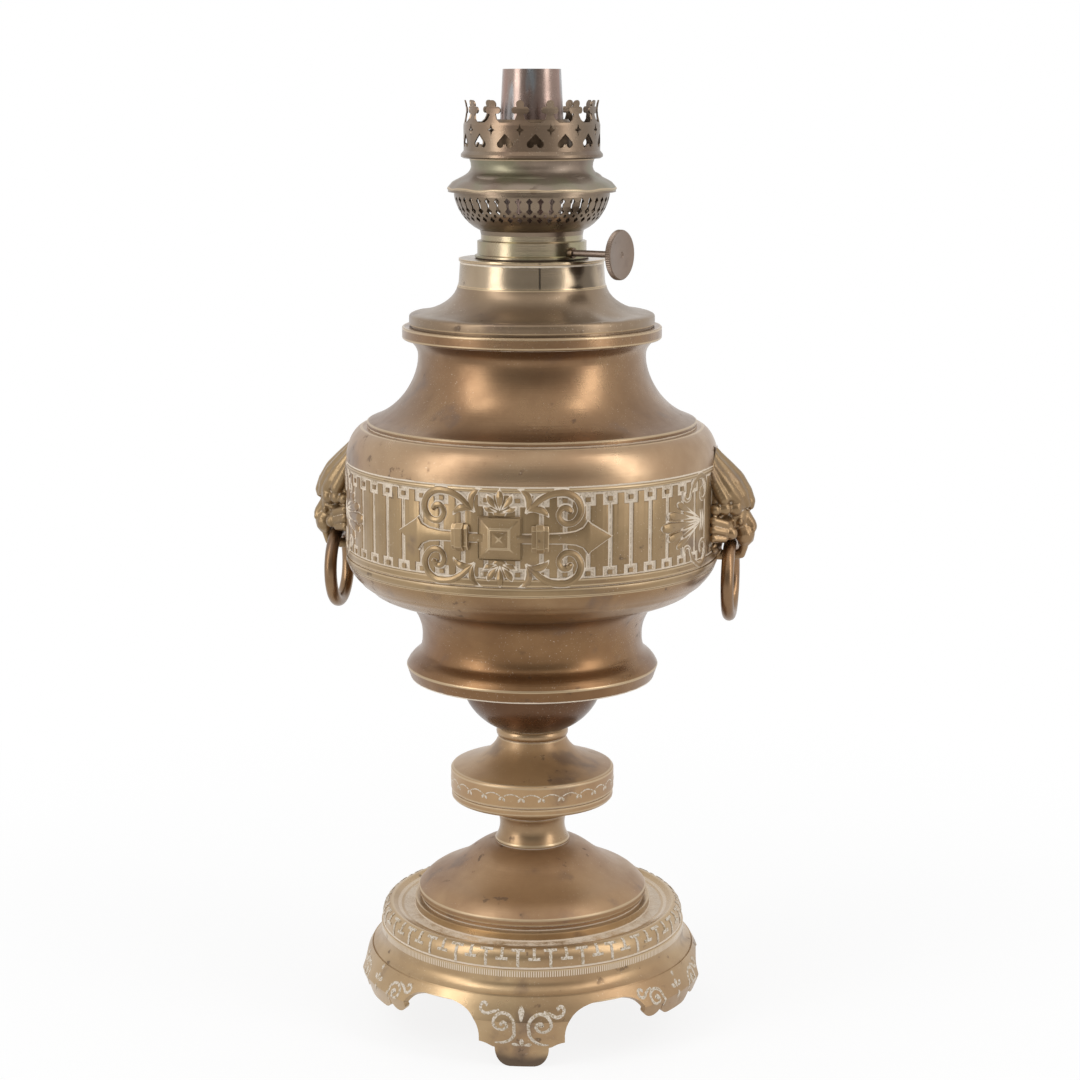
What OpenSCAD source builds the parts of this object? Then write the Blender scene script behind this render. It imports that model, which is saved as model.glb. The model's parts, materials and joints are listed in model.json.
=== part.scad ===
// Brass table lamp for kerosene: base on three feet, turned stem, vase with a frieze,
// drop-in fount and a round-wick burner with a pierced basket and a pronged chimney gallery.
// Millimetres, +Z up, origin on the table under the middle of the lamp, cartouche towards -Y.

/* [Base] */
// Radius of the plinth moulding above the feet
base_r = 67; // [60:0.5:76]
// Height of the feet and apron, table to plinth
apron_h = 29; // [26:0.5:36]
// Bulge of the apron beyond the plinth
apron_flare = 4.4; // [2:0.2:7]
// Wall of the base casting
base_wall = 3; // [2:0.25:4]
// Number of feet, with a shorter pendant between each two
foot_count = 3; // [3:1:4]
// Turn of the feet against the front of the vase, degrees
foot_turn = 6.4; // [-30:0.1:30]
// Width of a foot across its two ears
foot_w = 34; // [28:0.5:38]
// Width of a foot where it meets the table
foot_toe_w = 10; // [6:0.5:14]
// Height of the arches between the feet
arch_h = 26.6; // [22:0.2:27]
// Height of the pendants above the table
pendant_z = 13.2; // [8:0.2:15]
// Height of the plinth ring
plinth_h = 16.2; // [12:0.2:22]
// Inner radius of the patterned ring on the plinth
pattern_r = 54.6; // [51:0.2:58]
// Radius of the step that carries the dome
step_r = 48.8; // [46.8:0.1:50]
// Height of that step
step_h = 3.4; // [2.5:0.1:6]

/* [Stem] */
// Radius of the base dome at its edge
dome_r = 46.5; // [40:0.5:46.5]
// Height of the base dome
dome_h = 23.6; // [18:0.2:32]
// Wall of the spun dome and of the hollow knop
stem_wall = 2; // [1.2:0.1:3]
// Radius of the stem at its narrow collars
stem_r = 14.2; // [11:0.2:18]
// Height of the lower collar
collar_h = 11.8; // [8:0.2:20]
// Radius of the knop
knop_r = 33.6; // [26:0.2:40]
// Height of the knop
knop_h = 33; // [28:0.5:42]
// Height of the engraved band round the knop
knop_band_h = 8.4; // [5:0.2:11]
// Height of the bead above the knop
bead_h = 4.1; // [2.5:0.1:6]
// Diameter of the tie rod through the stem
rod_d = 6; // [5:0.5:8]

/* [Vase] */
// Wall of the vase shells
vase_wall = 1.5; // [1:0.1:2.5]
// Radius of the cup under the vase
cup_r = 28.3; // [24:0.1:32]
// Height of the cup
cup_h = 22; // [20:0.5:28]
// Radius of the drum at its bottom band
drum_r = 50.8; // [46:0.2:54]
// Radius of the drum at its waist
waist_r = 44.8; // [41:0.2:47]
// Height of the drum
drum_h = 33; // [28:0.5:40]
// Height of the plain band round the foot of the drum
drum_band_h = 5; // [3:0.2:8]
// Radius of the vase at the frieze
belly_r = 74.4; // [70:0.2:80]
// Radius of the lip under the belly
lip_r = 66.4; // [62:0.2:69]
// Height of the moulding from the drum to the frieze
lower_h = 15; // [12:0.5:20]
// Height of the frieze with its borders
frieze_h = 41.4; // [38:0.2:48]
// Height of the ornamented field between the borders
field_h = 32.6; // [29:0.2:34]
// Height of the rounded shoulder above the frieze
shoulder_h = 13.7; // [11:0.2:18]
// Radius at the foot of the neck
neck_foot_r = 66.2; // [62:0.2:67.5]
// Room between the oil tank and the neck where it is narrowest
neck_room = 2.3; // [1.9:0.1:6]
// Height of the neck up to the rim
neck_h = 34.9; // [30:0.5:42]
// How far the rim stands out from the narrow of the neck
rim_out = 6.25; // [5.4:0.05:10]
// Height of the rim
rim_h = 5; // [3.5:0.1:7]

/* [Lion masks and rings] */
// How far the muzzle stands out from the frieze
mask_out = 17; // [15:0.2:20]
// Width of a mask across the mane
mask_w = 25; // [22:0.2:28]
// Height of the ring pivot above the table
mouth_z = 200.2; // [199:0.1:202]
// Distance of the ring pivot from the frieze
mouth_out = 6.4; // [6:0.1:7]
// Diameter of a ring at the middle of its wire
ring_d = 29; // [26:0.5:34]
// Diameter of the ring wire
wire_d = 5.1; // [4:0.1:5.4]

/* [Fount] */
// Radius of the drop-in tank
tank_r = 43.3; // [38:0.1:43.3]
// Depth of the tank below the rim
tank_h = 91; // [60:1:95]
// Wall of the tank
tank_wall = 0.8; // [0.6:0.1:1.2]
// Step from the rim in to the edge of the fount lid
lid_step = 2.85; // [1.35:0.05:5]
// Height of the fount lid
lid_h = 15.3; // [12:0.1:20]
// Radius of the collar on the lid
fount_collar_r = 28.6; // [26:0.2:32]
// Height of that collar
fount_collar_h = 10.7; // [9:0.1:14]
// Sheet the lid and the collar are spun from
fount_wall = 1; // [0.8:0.1:1.4]

/* [Burner] */
// Radius of the screw thread under the burner
thread_r = 19; // [18:0.1:19.4]
// Length of the screw thread
thread_h = 6.4; // [4:0.2:7]
// Radius of the drum that holds the wick drive
case_r = 21.7; // [20.8:0.1:23]
// Height of that drum
case_h = 8.8; // [8.4:0.1:11]
// Sheet the burner is pressed from
sheet = 0.6; // [0.5:0.05:0.7]
// Radius of the pierced basket at its top
basket_r = 30.8; // [28:0.2:32]
// Height of the pierced basket
basket_h = 17.7; // [16:0.1:21]
// Number of piercings round the basket
pierce_count = 44; // [30:1:46]
// Radius of the rim of the burner shoulder
shoulder_rim_r = 33.5; // [32.6:0.1:36]
// Height of the burner shoulder
cap_h = 12.1; // [10:0.1:15]
// Radius of the chimney gallery
gallery_r = 26.9; // [25:0.1:28]
// Height of the chimney gallery with its prongs
gallery_h = 22.5; // [20:0.1:26]
// Height of the gallery band below the prongs
gallery_band_h = 14; // [12:0.1:15]
// Number of prongs
prong_count = 14; // [10:1:16]

/* [Wick] */
// Radius of the wick tube at its mouth
tube_r = 11.46; // [11.3:0.02:12.2]
// Height of the wick tube above the prongs
tube_over = 11.9; // [6:0.1:20]
// Inner radius of the wick
wick_ri = 8.4; // [8.3:0.02:8.6]
// Thickness of the wick
wick_t = 2.2; // [1.6:0.05:2.2]
// Depth of the wick below the mouth of the tube, turned down
wick_sink = 3; // [1:0.5:6]
// Turn of the wick shaft against the right-hand side, degrees
shaft_turn = -22; // [-60:1:60]
// Diameter of the wick shaft
shaft_d = 2.6; // [2:0.1:2.8]
// Distance of the shaft from the middle of the burner
shaft_off = 5; // [4.6:0.05:5.1]
// Length of the shaft from the middle of the burner to the knob
shaft_len = 43; // [36:0.5:50]
// Diameter of the knob
knob_d = 19.4; // [14:0.2:20]
// Thickness of the knob
knob_t = 2.4; // [1.5:0.1:4]

/* [Hidden] */
$fn = 96;
brass = "#8f744a";
pale_brass = "#a98f5f";
dark_brass = "#5f4b32";
steel = "#7d7b76";
fit = 0.05;   // running fit of the shaft in its bearings
gap = 0.3;    // clearance between pieces that only pass each other
seat = 0.1;   // clearance of a cast piece against the curved wall behind it

// Levels up the lamp, each from the piece below it
z_plinth = apron_h;
z_land = z_plinth + plinth_h;
z_step = z_land + step_h;
z_dome = z_step + dome_h;
z_collar = z_dome + collar_h;
z_knop = z_collar + knop_h;
z_bead = z_knop + bead_h;
z_cup = z_bead + cup_h;
z_drum = z_cup + drum_h;
z_lower = z_drum + lower_h;
z_frieze = z_lower + frieze_h;
z_shoulder = z_frieze + shoulder_h;
z_neck = z_shoulder + neck_h;
z_rim = z_neck + rim_h;
z_lid = z_rim + tank_wall;
z_lid_top = z_lid + lid_h;
z_fount = z_lid_top + fount_collar_h;
gasket_t = 0.5;
z_case = z_fount + gasket_t;
z_basket = z_case + case_h;
z_cap = z_basket + basket_h;
z_gallery = z_cap + cap_h;
z_prong = z_gallery + gallery_h;
z_tube = z_prong + tube_over;

// The stem's bore and the tie rod with its nuts and washers
bore_r = rod_d / 2 + gap;
nut_h = rod_d * 0.8;
nut_r = rod_d * 0.95;
washer_r = rod_d * 1.6;
washer_t = 1.5;
rod_spare = 3;
cup_floor = 3;

// The frieze field, the drum's seat and the masks
field_z = z_lower + (frieze_h - field_h) * 0.78;
field_mid = field_z + field_h / 2;
border_out = 0.7;
relief = 1.4;
drum_top_r = lip_r - 13.6;
shoulder_ledge_r = neck_foot_r + 2.4;
neck_r = tank_r + neck_room;
rim_r = neck_r + rim_out;
lid_r = rim_r - lid_step;
mask_r = belly_r + seat;
mouth_r = belly_r + mouth_out;
bolt_d = 2.8;
bolt_out = 3;
bolt_rise = 14;
bolt_step = 9;
mask_nut_h = 2;

// The burner's inner pieces
drive_z = z_case + 2.4;
straight_r = wick_ri + wick_t + 0.4 + sheet;
flare_z = z_gallery - 6;
tube_taper = 0.0515;
flare_r = tube_r + tube_taper * (z_tube - flare_z);
bush_d = shaft_d + 1.8;
spur_gap = 0.12;
spur_w = 1;
spur_at = 2;
spur_edge = spur_at + spur_w / 2;
spur_r = sqrt(wick_ri * wick_ri - spur_edge * spur_edge) - shaft_off - spur_gap;
spur_teeth = 7;
tail_angle = 29;
slit_angle = 13;
sleeve_h = 44;
tail_end = z_rim - tank_h * 0.824;
air_r = wick_ri - gap;
rib_t = 1.2;
cone_top_z = z_gallery + gallery_h * 0.667;
cone_r = tube_r + 3.7;
thread_wall = 1.5;

// Points on a cubic curve from p to q, pulled towards the handles a and b
function curve(p, a, b, q, n = 9) = [
    for (i = [0 : n]) let (t = i / n, s = 1 - t)
        s * s * s * p + 3 * s * s * t * a + 3 * s * t * t * b + t * t * t * q
];

// Unit vector square to an outline at its point i, pointing outwards on the way up
function outward(p, i) =
    let (d = p[min(i + 1, len(p) - 1)] - p[max(i - 1, 0)]) [d[1], -d[0]] / norm(d);

// Closed outline of a wall of thickness t behind an outer outline, with level ends
function wall(p, t) = let (last = len(p) - 1) concat(
    p,
    [p[last] - [t, 0]],
    [for (i = [last - 1 : -1 : 1]) p[i] - t * outward(p, i)],
    [p[0] - [t, 0]]
);

// Solid of revolution with a closed outline of [radius, height] points
module turned(outline) {
    rotate_extrude() polygon(outline);
}

// Tube from z to z + h
module tube(ri, ro, z, h) {
    turned([[ri, z], [ro, z], [ro, z + h], [ri, z + h]]);
}

// Prism of a flat [across, up] shape that runs outwards from radius ri to ro, facing -Y
module radial(ri, ro) {
    rotate([90, 0, 0]) translate([0, 0, ri]) linear_extrude(ro - ri) children();
}

// Copies of a shape at equal steps round the lamp
module around(count, start = 0) {
    for (i = [0 : count - 1]) rotate([0, 0, start + i * 360 / count]) children();
}

// Outline of one foot or pendant with its half arches, seen from outside: a toe whose edge is at
// height z, then a notch and an ear on each side, given as points, with the ear's lobe hanging by dip
module foot_outline(toe, z, notch, ear, dip) {
    half_gap = base_r * tan(90 / foot_count);
    rise = arch_h - ear[1];
    round_off = [(toe + notch[0] * 2) / 3, z + (notch[1] - z) * 0.04];
    side = concat(
        curve([toe, z], round_off, [notch[0], (z + notch[1]) / 2], notch, 5),
        curve(notch + [0.4, 0.2], notch + [1.2, -dip], ear - [3.5, dip + 0.3], ear, 6),
        curve(ear + [0, rise * 0.2], ear + [1, rise * 0.85], ear + [7, rise], [half_gap, arch_h], 8)
    );
    cover = [[half_gap, arch_h + 1], [-half_gap, arch_h + 1]];
    mirrored = [for (i = [len(side) - 1 : -1 : 0]) [-side[i][0], side[i][1]]];
    polygon(concat(side, cover, mirrored));
}

module base_foot() {
    toe_r = base_r - 0.5;
    knee_r = base_r + apron_flare;
    knee_z = apron_h * 0.69;
    knurl_r = base_r - 4;
    knurl_z = z_plinth + plinth_h * 0.42;
    ring_z = knurl_z + plinth_h * 0.17;
    crest = 1.5;
    ear = foot_w / 2;
    path = concat(
        curve([toe_r, 0], [toe_r + 1.5, knee_z * 0.3], [knee_r - 2.6, knee_z * 0.7], [knee_r, knee_z], 6),
        curve([knee_r - 0.3, knee_z + 1], [knee_r - 1.5, knee_z + 3], [base_r + 1.5, apron_h - 2],
              [base_r, apron_h], 4),
        curve([base_r - 0.6, z_plinth + 0.4], [knurl_r, z_plinth + 2], [knurl_r - 0.4, knurl_z - 3],
              [knurl_r, knurl_z], 5),
        [[knurl_r, ring_z]],
        curve([knurl_r - 0.8, ring_z + 0.3], [knurl_r - 0.2, z_land - 1], [knurl_r - 2.5, z_land + crest],
              [knurl_r - 4.6, z_land + crest], 7),
        [[pattern_r, z_land], [step_r, z_land], [step_r, z_step], [bore_r, z_step]]
    );
    hollow = [
        [bore_r, z_step - base_wall], [step_r - base_wall, z_step - base_wall],
        [step_r - base_wall, z_land - base_wall], [knurl_r - base_wall - 1.5, z_land - base_wall],
        [knurl_r - base_wall, knurl_z], [base_r - base_wall, apron_h], [knee_r - base_wall, knee_z],
        [toe_r - base_wall, 0]
    ];
    color(brass) intersection() {
        turned(concat(path, hollow));
        union() {
            translate([0, 0, arch_h]) cylinder(r = base_r * 1.3, h = z_step);
            around(foot_count, foot_turn) radial(step_r, base_r * 1.3)
                foot_outline(foot_toe_w / 2, 0, [ear * 0.63, arch_h * 0.31], [ear, arch_h * 0.39], 0);
            around(foot_count, foot_turn + 180 / foot_count) radial(step_r, base_r * 1.3)
                foot_outline(foot_toe_w * 0.55, pendant_z, [ear * 0.63, arch_h * 0.68],
                             [ear * 1.24, arch_h * 0.66], 4);
        }
    }
}

module base_dome() {
    brim_r = dome_r + 0.75;
    path = concat(
        [[brim_r, z_step]],
        curve([brim_r, z_step + dome_h * 0.2], [dome_r * 0.875, z_step + dome_h * 0.542],
              [dome_r * 0.862, z_step + dome_h * 0.345], [dome_r * 0.602, z_step + dome_h * 0.726]),
        curve([dome_r * 0.59, z_step + dome_h * 0.742], [dome_r * 0.568, z_step + dome_h * 0.776],
              [stem_r + 6.2, z_dome], [stem_r + 1.4, z_dome], 6),
        [[bore_r + stem_wall, z_dome]]
    );
    color(brass) difference() {
        turned(wall(path, stem_wall));
        tube(brim_r - stem_wall / 2, brim_r + gap, z_step - gap, gap + dome_h * 0.1);
    }
}

module stem_collar() {
    foot_r = stem_r + 1.2;
    outer = curve([foot_r, z_dome + 1.2], [stem_r - 1.2, z_dome + collar_h * 0.4],
                  [stem_r - 1.2, z_dome + collar_h * 0.7], [stem_r, z_collar]);
    color(brass) turned(concat([[bore_r, z_dome], [foot_r, z_dome]], outer, [[bore_r, z_collar]]));
}

module stem_knop() {
    band_top = z_collar + knop_h * 0.6;
    band_low = band_top - knop_band_h;
    edge_low = band_low - 0.8;
    lip_low = edge_low - 3.2;
    upper = curve([knop_r - 0.6, band_top + 0.7], [knop_r * 0.8, band_top + 3],
                  [stem_r + 2.6, band_top + 4.6], [stem_r - 0.4, z_knop]);
    lower = curve([stem_r, z_collar], [stem_r + 4, lip_low - 1.6], [knop_r * 0.8, lip_low - 0.8],
                  [knop_r - 1, lip_low], 6);
    hollow_r = knop_r - 4;
    color(brass) difference() {
        turned(concat([[bore_r, z_collar]], lower, [
            [knop_r - 0.3, lip_low + 0.8], [knop_r - 0.3, edge_low], [knop_r - 0.9, edge_low + 0.4],
            [knop_r, band_low], [knop_r, band_top]], upper, [[bore_r, z_knop]]));
        tube(bore_r - gap, hollow_r, lip_low + stem_wall, band_top - lip_low - stem_wall * 1.5);
    }
}

module stem_bead() {
    outer = curve([stem_r - 0.4, z_knop], [stem_r + 0.9, z_knop + bead_h * 0.2],
                  [stem_r + 0.9, z_bead - bead_h * 0.2], [stem_r - 0.2, z_bead], 6);
    color(brass) turned(concat([[bore_r, z_knop]], outer, [[bore_r, z_bead]]));
}

module vase_cup() {
    path = concat(
        curve([stem_r - 0.2, z_bead], [stem_r + 6, z_bead + 2], [cup_r - 0.6, z_bead + cup_h * 0.42],
              [cup_r, z_bead + cup_h * 0.75]),
        [[cup_r + 1.2, z_cup]]
    );
    floor_r = stem_r - 0.2;
    color(brass) {
        turned(wall(path, vase_wall));
        tube(bore_r, floor_r, z_bead, cup_floor);
    }
}

module vase_drum() {
    band = z_cup + drum_band_h;
    path = concat(
        [[drum_r - 1.1, z_cup]],
        curve([drum_r + 0.6, band], [drum_r - 2.5, band + drum_h * 0.2], [waist_r, band + drum_h * 0.1],
              [waist_r, band + drum_h * 0.365]),
        curve([waist_r, band + drum_h * 0.4], [waist_r, band + drum_h * 0.55],
              [drum_top_r - 5, z_drum - 3], [drum_top_r, z_drum], 6)
    );
    color(brass) {
        turned(wall(path, vase_wall));
        tube(cup_r - 2, drum_r - 2, z_cup, vase_wall);
    }
}

module vase_lower() {
    path = concat(
        curve([drum_top_r + vase_wall, z_drum], [lip_r - 8, z_drum + 1], [lip_r - 2, z_drum + 2.4],
              [lip_r, z_drum + lower_h * 0.34], 5),
        [[lip_r + 3.2, z_drum + lower_h * 0.5]],
        curve([lip_r + 3.6, z_drum + lower_h * 0.54], [belly_r - 2.4, z_drum + lower_h * 0.66],
              [belly_r - 0.4, z_drum + lower_h * 0.85], [belly_r + 0.2, z_lower], 6)
    );
    color(brass) {
        turned(wall(path, vase_wall));
        tube(drum_top_r - vase_wall, drum_top_r + vase_wall, z_drum, vase_wall * 0.8);
    }
}

// Band of a C-scroll, from angle a0 over a turn, as a flat shape
module scroll(r, band, a0, turn) {
    n = 14;
    outer = [for (i = [0 : n]) let (a = a0 + turn * i / n) (r + band / 2) * [cos(a), sin(a)]];
    inner = [for (i = [n : -1 : 0]) let (a = a0 + turn * i / n) (r - band / 2) * [cos(a), sin(a)]];
    polygon(concat(outer, inner));
}

// Cartouche seen from outside: cross arms with spear heads, and four scrolls
module cartouche_outline() {
    arm = field_h * 0.115;
    span = belly_r * sin(32.5);
    head = field_h * 0.2;
    head_l = field_h * 0.27;
    scroll_r = field_h * 0.2;
    scroll_w = field_h * 0.085;
    square([2 * (span - head_l), arm], center = true);
    for (side = [-1, 1]) scale([side, 1]) {
        polygon([[span, 0], [span - head_l, head], [span - head_l * 0.8, 0], [span - head_l, -head]]);
        for (up = [-1, 1]) scale([1, up])
            translate([span * 0.62, field_h * 0.29]) scroll(scroll_r, scroll_w, -150, 300);
    }
}

// Square boss with a bevelled face, standing out along -Y
module cartouche_boss() {
    half = field_h * 0.27;
    top = field_h * 0.11;
    rise = 3.4;
    translate([0, -belly_r + 1, 0]) rotate([90, 0, 0]) rotate([0, 0, 45])
        cylinder(r1 = half * sqrt(2), r2 = top * sqrt(2), h = rise + 1, $fn = 4);
}

module frieze_band() {
    field_top = field_z + field_h;
    bead = belly_r + border_out;
    low_mid = (z_lower + field_z) / 2;
    outer = [
        [belly_r + 0.2, z_lower], [bead + 0.2, z_lower + 1.6], [bead + 0.1, low_mid - 0.3],
        [belly_r, low_mid], [bead, low_mid + 0.5], [bead, field_z - 0.3], [belly_r, field_z],
        [belly_r, field_top], [bead, field_top + 0.3], [bead, z_frieze - 0.6], [belly_r + 0.2, z_frieze]
    ];
    inner_r = belly_r - vase_wall;
    color(brass) difference() {
        union() {
            turned(concat(outer, [[inner_r, z_frieze], [inner_r, z_lower]]));
            for (back = [0, 180]) rotate([0, 0, back]) translate([0, 0, field_mid]) {
                intersection() {
                    radial(belly_r * 0.7, belly_r * 1.15) cartouche_outline();
                    tube(inner_r + 0.5, belly_r + relief, -field_h / 2, field_h);
                }
                cartouche_boss();
            }
        }
        for (side = [0, 180]) rotate([0, 0, side]) mask_bolt_places()
            cylinder(d = bolt_d + 2 * seat, h = 4 * vase_wall, center = true);
        translate([0, 0, z_lower - 1]) cylinder(r = inner_r, h = frieze_h + 2);
    }
}

module vase_shoulder() {
    fascia = shoulder_h * 0.26;
    path = concat(
        [[belly_r + 0.4, z_frieze]],
        curve([belly_r + 0.2, z_frieze + fascia], [belly_r - 0.4, z_frieze + shoulder_h * 0.55],
              [belly_r - 2.4, z_frieze + shoulder_h * 0.88], [shoulder_ledge_r, z_shoulder], 8),
        [[neck_foot_r - vase_wall * 2, z_shoulder]]
    );
    color(brass) turned(wall(path, vase_wall));
}

module vase_neck() {
    waist_z = z_shoulder + neck_h * 0.79;
    rim_in = tank_r + gap * 2;
    path = concat(
        [[neck_foot_r, z_shoulder]],
        curve([neck_foot_r, z_shoulder + vase_wall * 1.4],
              [neck_foot_r * 0.2 + neck_r * 0.8, z_shoulder + neck_h * 0.22],
              [neck_r, z_shoulder + neck_h * 0.64], [neck_r, waist_z]),
        curve([neck_r, waist_z + neck_h * 0.03], [neck_r, waist_z + neck_h * 0.1],
              [neck_r + 1.6, z_neck - 1.8], [neck_r + 4, z_neck], 6)
    );
    color(brass) {
        turned(wall(path, vase_wall));
        turned([[rim_in, z_neck], [rim_r - 0.5, z_neck], [rim_r, z_neck + 0.5], [rim_r, z_rim - 0.4],
                [rim_r - 0.4, z_rim], [rim_in, z_rim]]);
    }
}

module tie_rod() {
    low = z_step - base_wall - washer_t - nut_h - rod_spare;
    high = z_bead + cup_floor + washer_t + nut_h + rod_spare;
    color(steel) translate([0, 0, low]) cylinder(d = rod_d, h = high - low);
}

module tie_nuts() {
    levels = [z_step - base_wall - washer_t - nut_h, z_bead + cup_floor + washer_t];
    color(steel) for (z = levels) translate([0, 0, z]) difference() {
        cylinder(r = nut_r, h = nut_h, $fn = 6);
        translate([0, 0, -1]) cylinder(d = rod_d + 2 * fit, h = nut_h + 2);
    }
}

module tie_washers() {
    color(steel) for (z = [z_step - base_wall - washer_t, z_bead + cup_floor])
        tube(bore_r, washer_r, z, washer_t);
}

// Places of the two bolts of the right-hand mask, along +X
module mask_bolt_places() {
    for (up = [mouth_z + bolt_rise, mouth_z + bolt_rise + bolt_step])
        translate([belly_r - vase_wall / 2, 0, up]) rotate([0, 90, 0]) children();
}

// Ball of the lion mask, so far out from the frieze, to one side and above the ring's pivot
module knob_at(out, side, up, r) {
    translate([belly_r + out, side, mouth_z + up]) sphere(r = r, $fn = 24);
}

// Lion mask on the +X side, with the ring's way between its jaw and its palate
module lion_mask() {
    w = mask_w / 2;
    wire = wire_d / 2;
    nose_r = w * 0.352;
    nose = mask_out - nose_r;
    palate = wire + gap * 2;
    muzzle_r = w * 0.256;
    jaw = -wire - gap;
    chin_r = wire * 0.8;
    front = mouth_out + wire + gap * 2;
    bead_r = belly_r + border_out + 0.2 + seat;
    field_top = field_z + field_h;
    way = 60;
    color(brass) difference() {
        union() {
            // mane and cheeks
            hull() {
                knob_at(0, 0, w * 2.08, w * 0.56);
                for (side = [-1, 1]) {
                    knob_at(w * 0.08, side * w * 0.52, w * 1.44, w * 0.56);
                    knob_at(w * 0.04, side * w * 0.488, w * 0.48, w * 0.48);
                }
            }
            // brow and bridge of the nose
            hull() {
                for (side = [-1, 1]) knob_at(mask_out * 0.45, side * w * 0.272, w * 1.48, w * 0.416);
                knob_at(nose, 0, w * 0.688, nose_r);
            }
            // muzzle
            hull() {
                for (side = [-1, 1]) knob_at(nose - w * 0.112, side * w * 0.224, palate + muzzle_r, muzzle_r);
                knob_at(0, 0, palate + w * 0.4, w * 0.4);
            }
            // lower jaw: a strap from the wall, under the wire and up to the chin
            hull() {
                knob_at(0, 0, jaw - wire * 0.88, wire * 0.88);
                knob_at(front + chin_r * 0.7, 0, jaw - chin_r * 0.6, chin_r);
            }
            hull() {
                knob_at(front + chin_r * 0.7, 0, jaw - chin_r * 0.6, chin_r);
                knob_at(front + wire * 0.88, 0, palate + chin_r, wire * 0.88);
            }
        }
        translate([0, 0, mouth_z - way / 2]) cylinder(r = mask_r, h = 2 * way);
        translate([0, 0, field_z - way]) cylinder(r = bead_r, h = way);
        translate([0, 0, field_top]) cylinder(r = bead_r, h = way);
        translate([mouth_r, 0, mouth_z]) rotate([90, 0, 0])
            cylinder(r = wire + gap, h = way, center = true);
        mask_bolt_places() cylinder(d = bolt_d + 2 * fit, h = 2 * bolt_out + vase_wall, center = true);
    }
}

module lion_mask_right() {
    lion_mask();
}

module lion_mask_left() {
    rotate([0, 0, 180]) lion_mask();
}

module mask_bolts() {
    inside = mask_nut_h + 2;
    color(steel) for (side = [0, 180]) rotate([0, 0, side]) mask_bolt_places()
        translate([0, 0, -vase_wall / 2 - inside])
            cylinder(d = bolt_d, h = inside + vase_wall + bolt_out - gap);
}

module mask_nuts() {
    back = vase_wall / 2 + seat + mask_nut_h;
    color(steel) for (side = [0, 180]) rotate([0, 0, side]) mask_bolt_places() translate([0, 0, -back])
        difference() {
            cylinder(d = bolt_d * 2, h = mask_nut_h, $fn = 6);
            translate([0, 0, -1]) cylinder(d = bolt_d + 2 * fit, h = mask_nut_h + 2);
        }
}

// Ring on the +X side, hanging from its pivot
module mouth_ring() {
    color(dark_brass) translate([mouth_r, 0, mouth_z - ring_d / 2]) rotate([0, 90, 0])
        rotate_extrude() translate([ring_d / 2, 0]) circle(d = wire_d);
}

module ring_right() {
    mouth_ring();
}

module ring_left() {
    rotate([0, 0, 180]) mouth_ring();
}

module fount_tank() {
    low = z_rim - tank_h;
    round_r = 3;
    inner = tank_r - tank_wall;
    flange_r = lid_r - 0.6;
    color(pale_brass) turned([
        [0, low], [tank_r - round_r, low], [tank_r, low + round_r], [tank_r, z_rim], [flange_r, z_rim],
        [flange_r, z_lid], [inner, z_lid], [inner, low + round_r + 0.3],
        [inner - round_r, low + tank_wall], [0, low + tank_wall]
    ]);
}

module fount_lid() {
    side = z_lid + lid_h * 0.2;
    top = z_lid + lid_h * 0.29;
    path = concat(
        [[lid_r, z_lid]],
        curve([lid_r, side], [lid_r, top - 0.6], [lid_r - 1, top], [lid_r - 3, top + 0.1], 5),
        curve([lid_r - 4.5, top + 0.3], [lid_r - 12, top + 1.6], [fount_collar_r + 2, z_lid + lid_h * 0.66],
              [fount_collar_r + 1, z_lid_top])
    );
    color(brass) turned(wall(path, fount_wall));
}

module fount_collar() {
    foot = fount_collar_r + 1;
    lip = fount_collar_r + 0.5;
    hole = thread_r + thread_wall;
    color(brass) turned([
        [foot - fount_wall, z_lid_top], [foot, z_lid_top], [foot - 0.4, z_lid_top + 1],
        [fount_collar_r, z_fount - 1.4], [lip, z_fount - 1], [lip, z_fount], [hole, z_fount],
        [hole, z_fount - fount_wall], [fount_collar_r - fount_wall * 2, z_fount - fount_wall],
        [fount_collar_r - fount_wall, z_fount - fount_wall * 2],
        [foot - 0.4 - fount_wall, z_lid_top + 1]
    ]);
}

module collar_thread_ring() {
    low = z_fount - fount_wall - thread_h;
    color(pale_brass) tube(thread_r + gap, thread_r + thread_wall * 2, low, thread_h);
}

module burner_gasket() {
    color("#4a3626") tube(thread_r + gap, case_r + 0.6, z_fount, gasket_t);
}

// Shape placed along the wick shaft, which runs in +X beside the middle of the burner
module along_shaft(s) {
    rotate([0, 0, shaft_turn]) translate([s, -shaft_off, drive_z]) rotate([0, 90, 0]) children();
}

module burner_case() {
    step_z = z_case + case_h * 0.72;
    upper_r = case_r - 1.5;
    spigot = thread_r;
    tube_hole = straight_r + gap;
    color(brass) difference() {
        turned([
            [spigot - 1, z_fount - thread_h], [spigot, z_fount - thread_h], [spigot, z_case],
            [case_r + 1, z_case], [case_r + 1, z_case + 0.8], [case_r, z_case + 1.2], [case_r, step_z],
            [upper_r, step_z + 0.5], [upper_r, z_basket], [tube_hole, z_basket],
            [tube_hole, z_basket - sheet], [upper_r - sheet, z_basket - sheet],
            [upper_r - sheet, step_z], [case_r - sheet, step_z - 0.4],
            [case_r - sheet, z_case + sheet + 1], [spigot - 1, z_case + sheet]
        ]);
        along_shaft(case_r / 2) cylinder(d = bush_d, h = case_r);
    }
}

module shaft_bush() {
    outer = bush_d - 2 * fit;
    reach = sqrt(case_r * case_r - pow(shaft_off + outer / 2, 2)) - 2;
    color(dark_brass) along_shaft(reach) difference() {
        cylinder(d = outer, h = 4);
        translate([0, 0, -1]) cylinder(d = shaft_d + 2 * fit, h = 6);
    }
}

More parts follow.
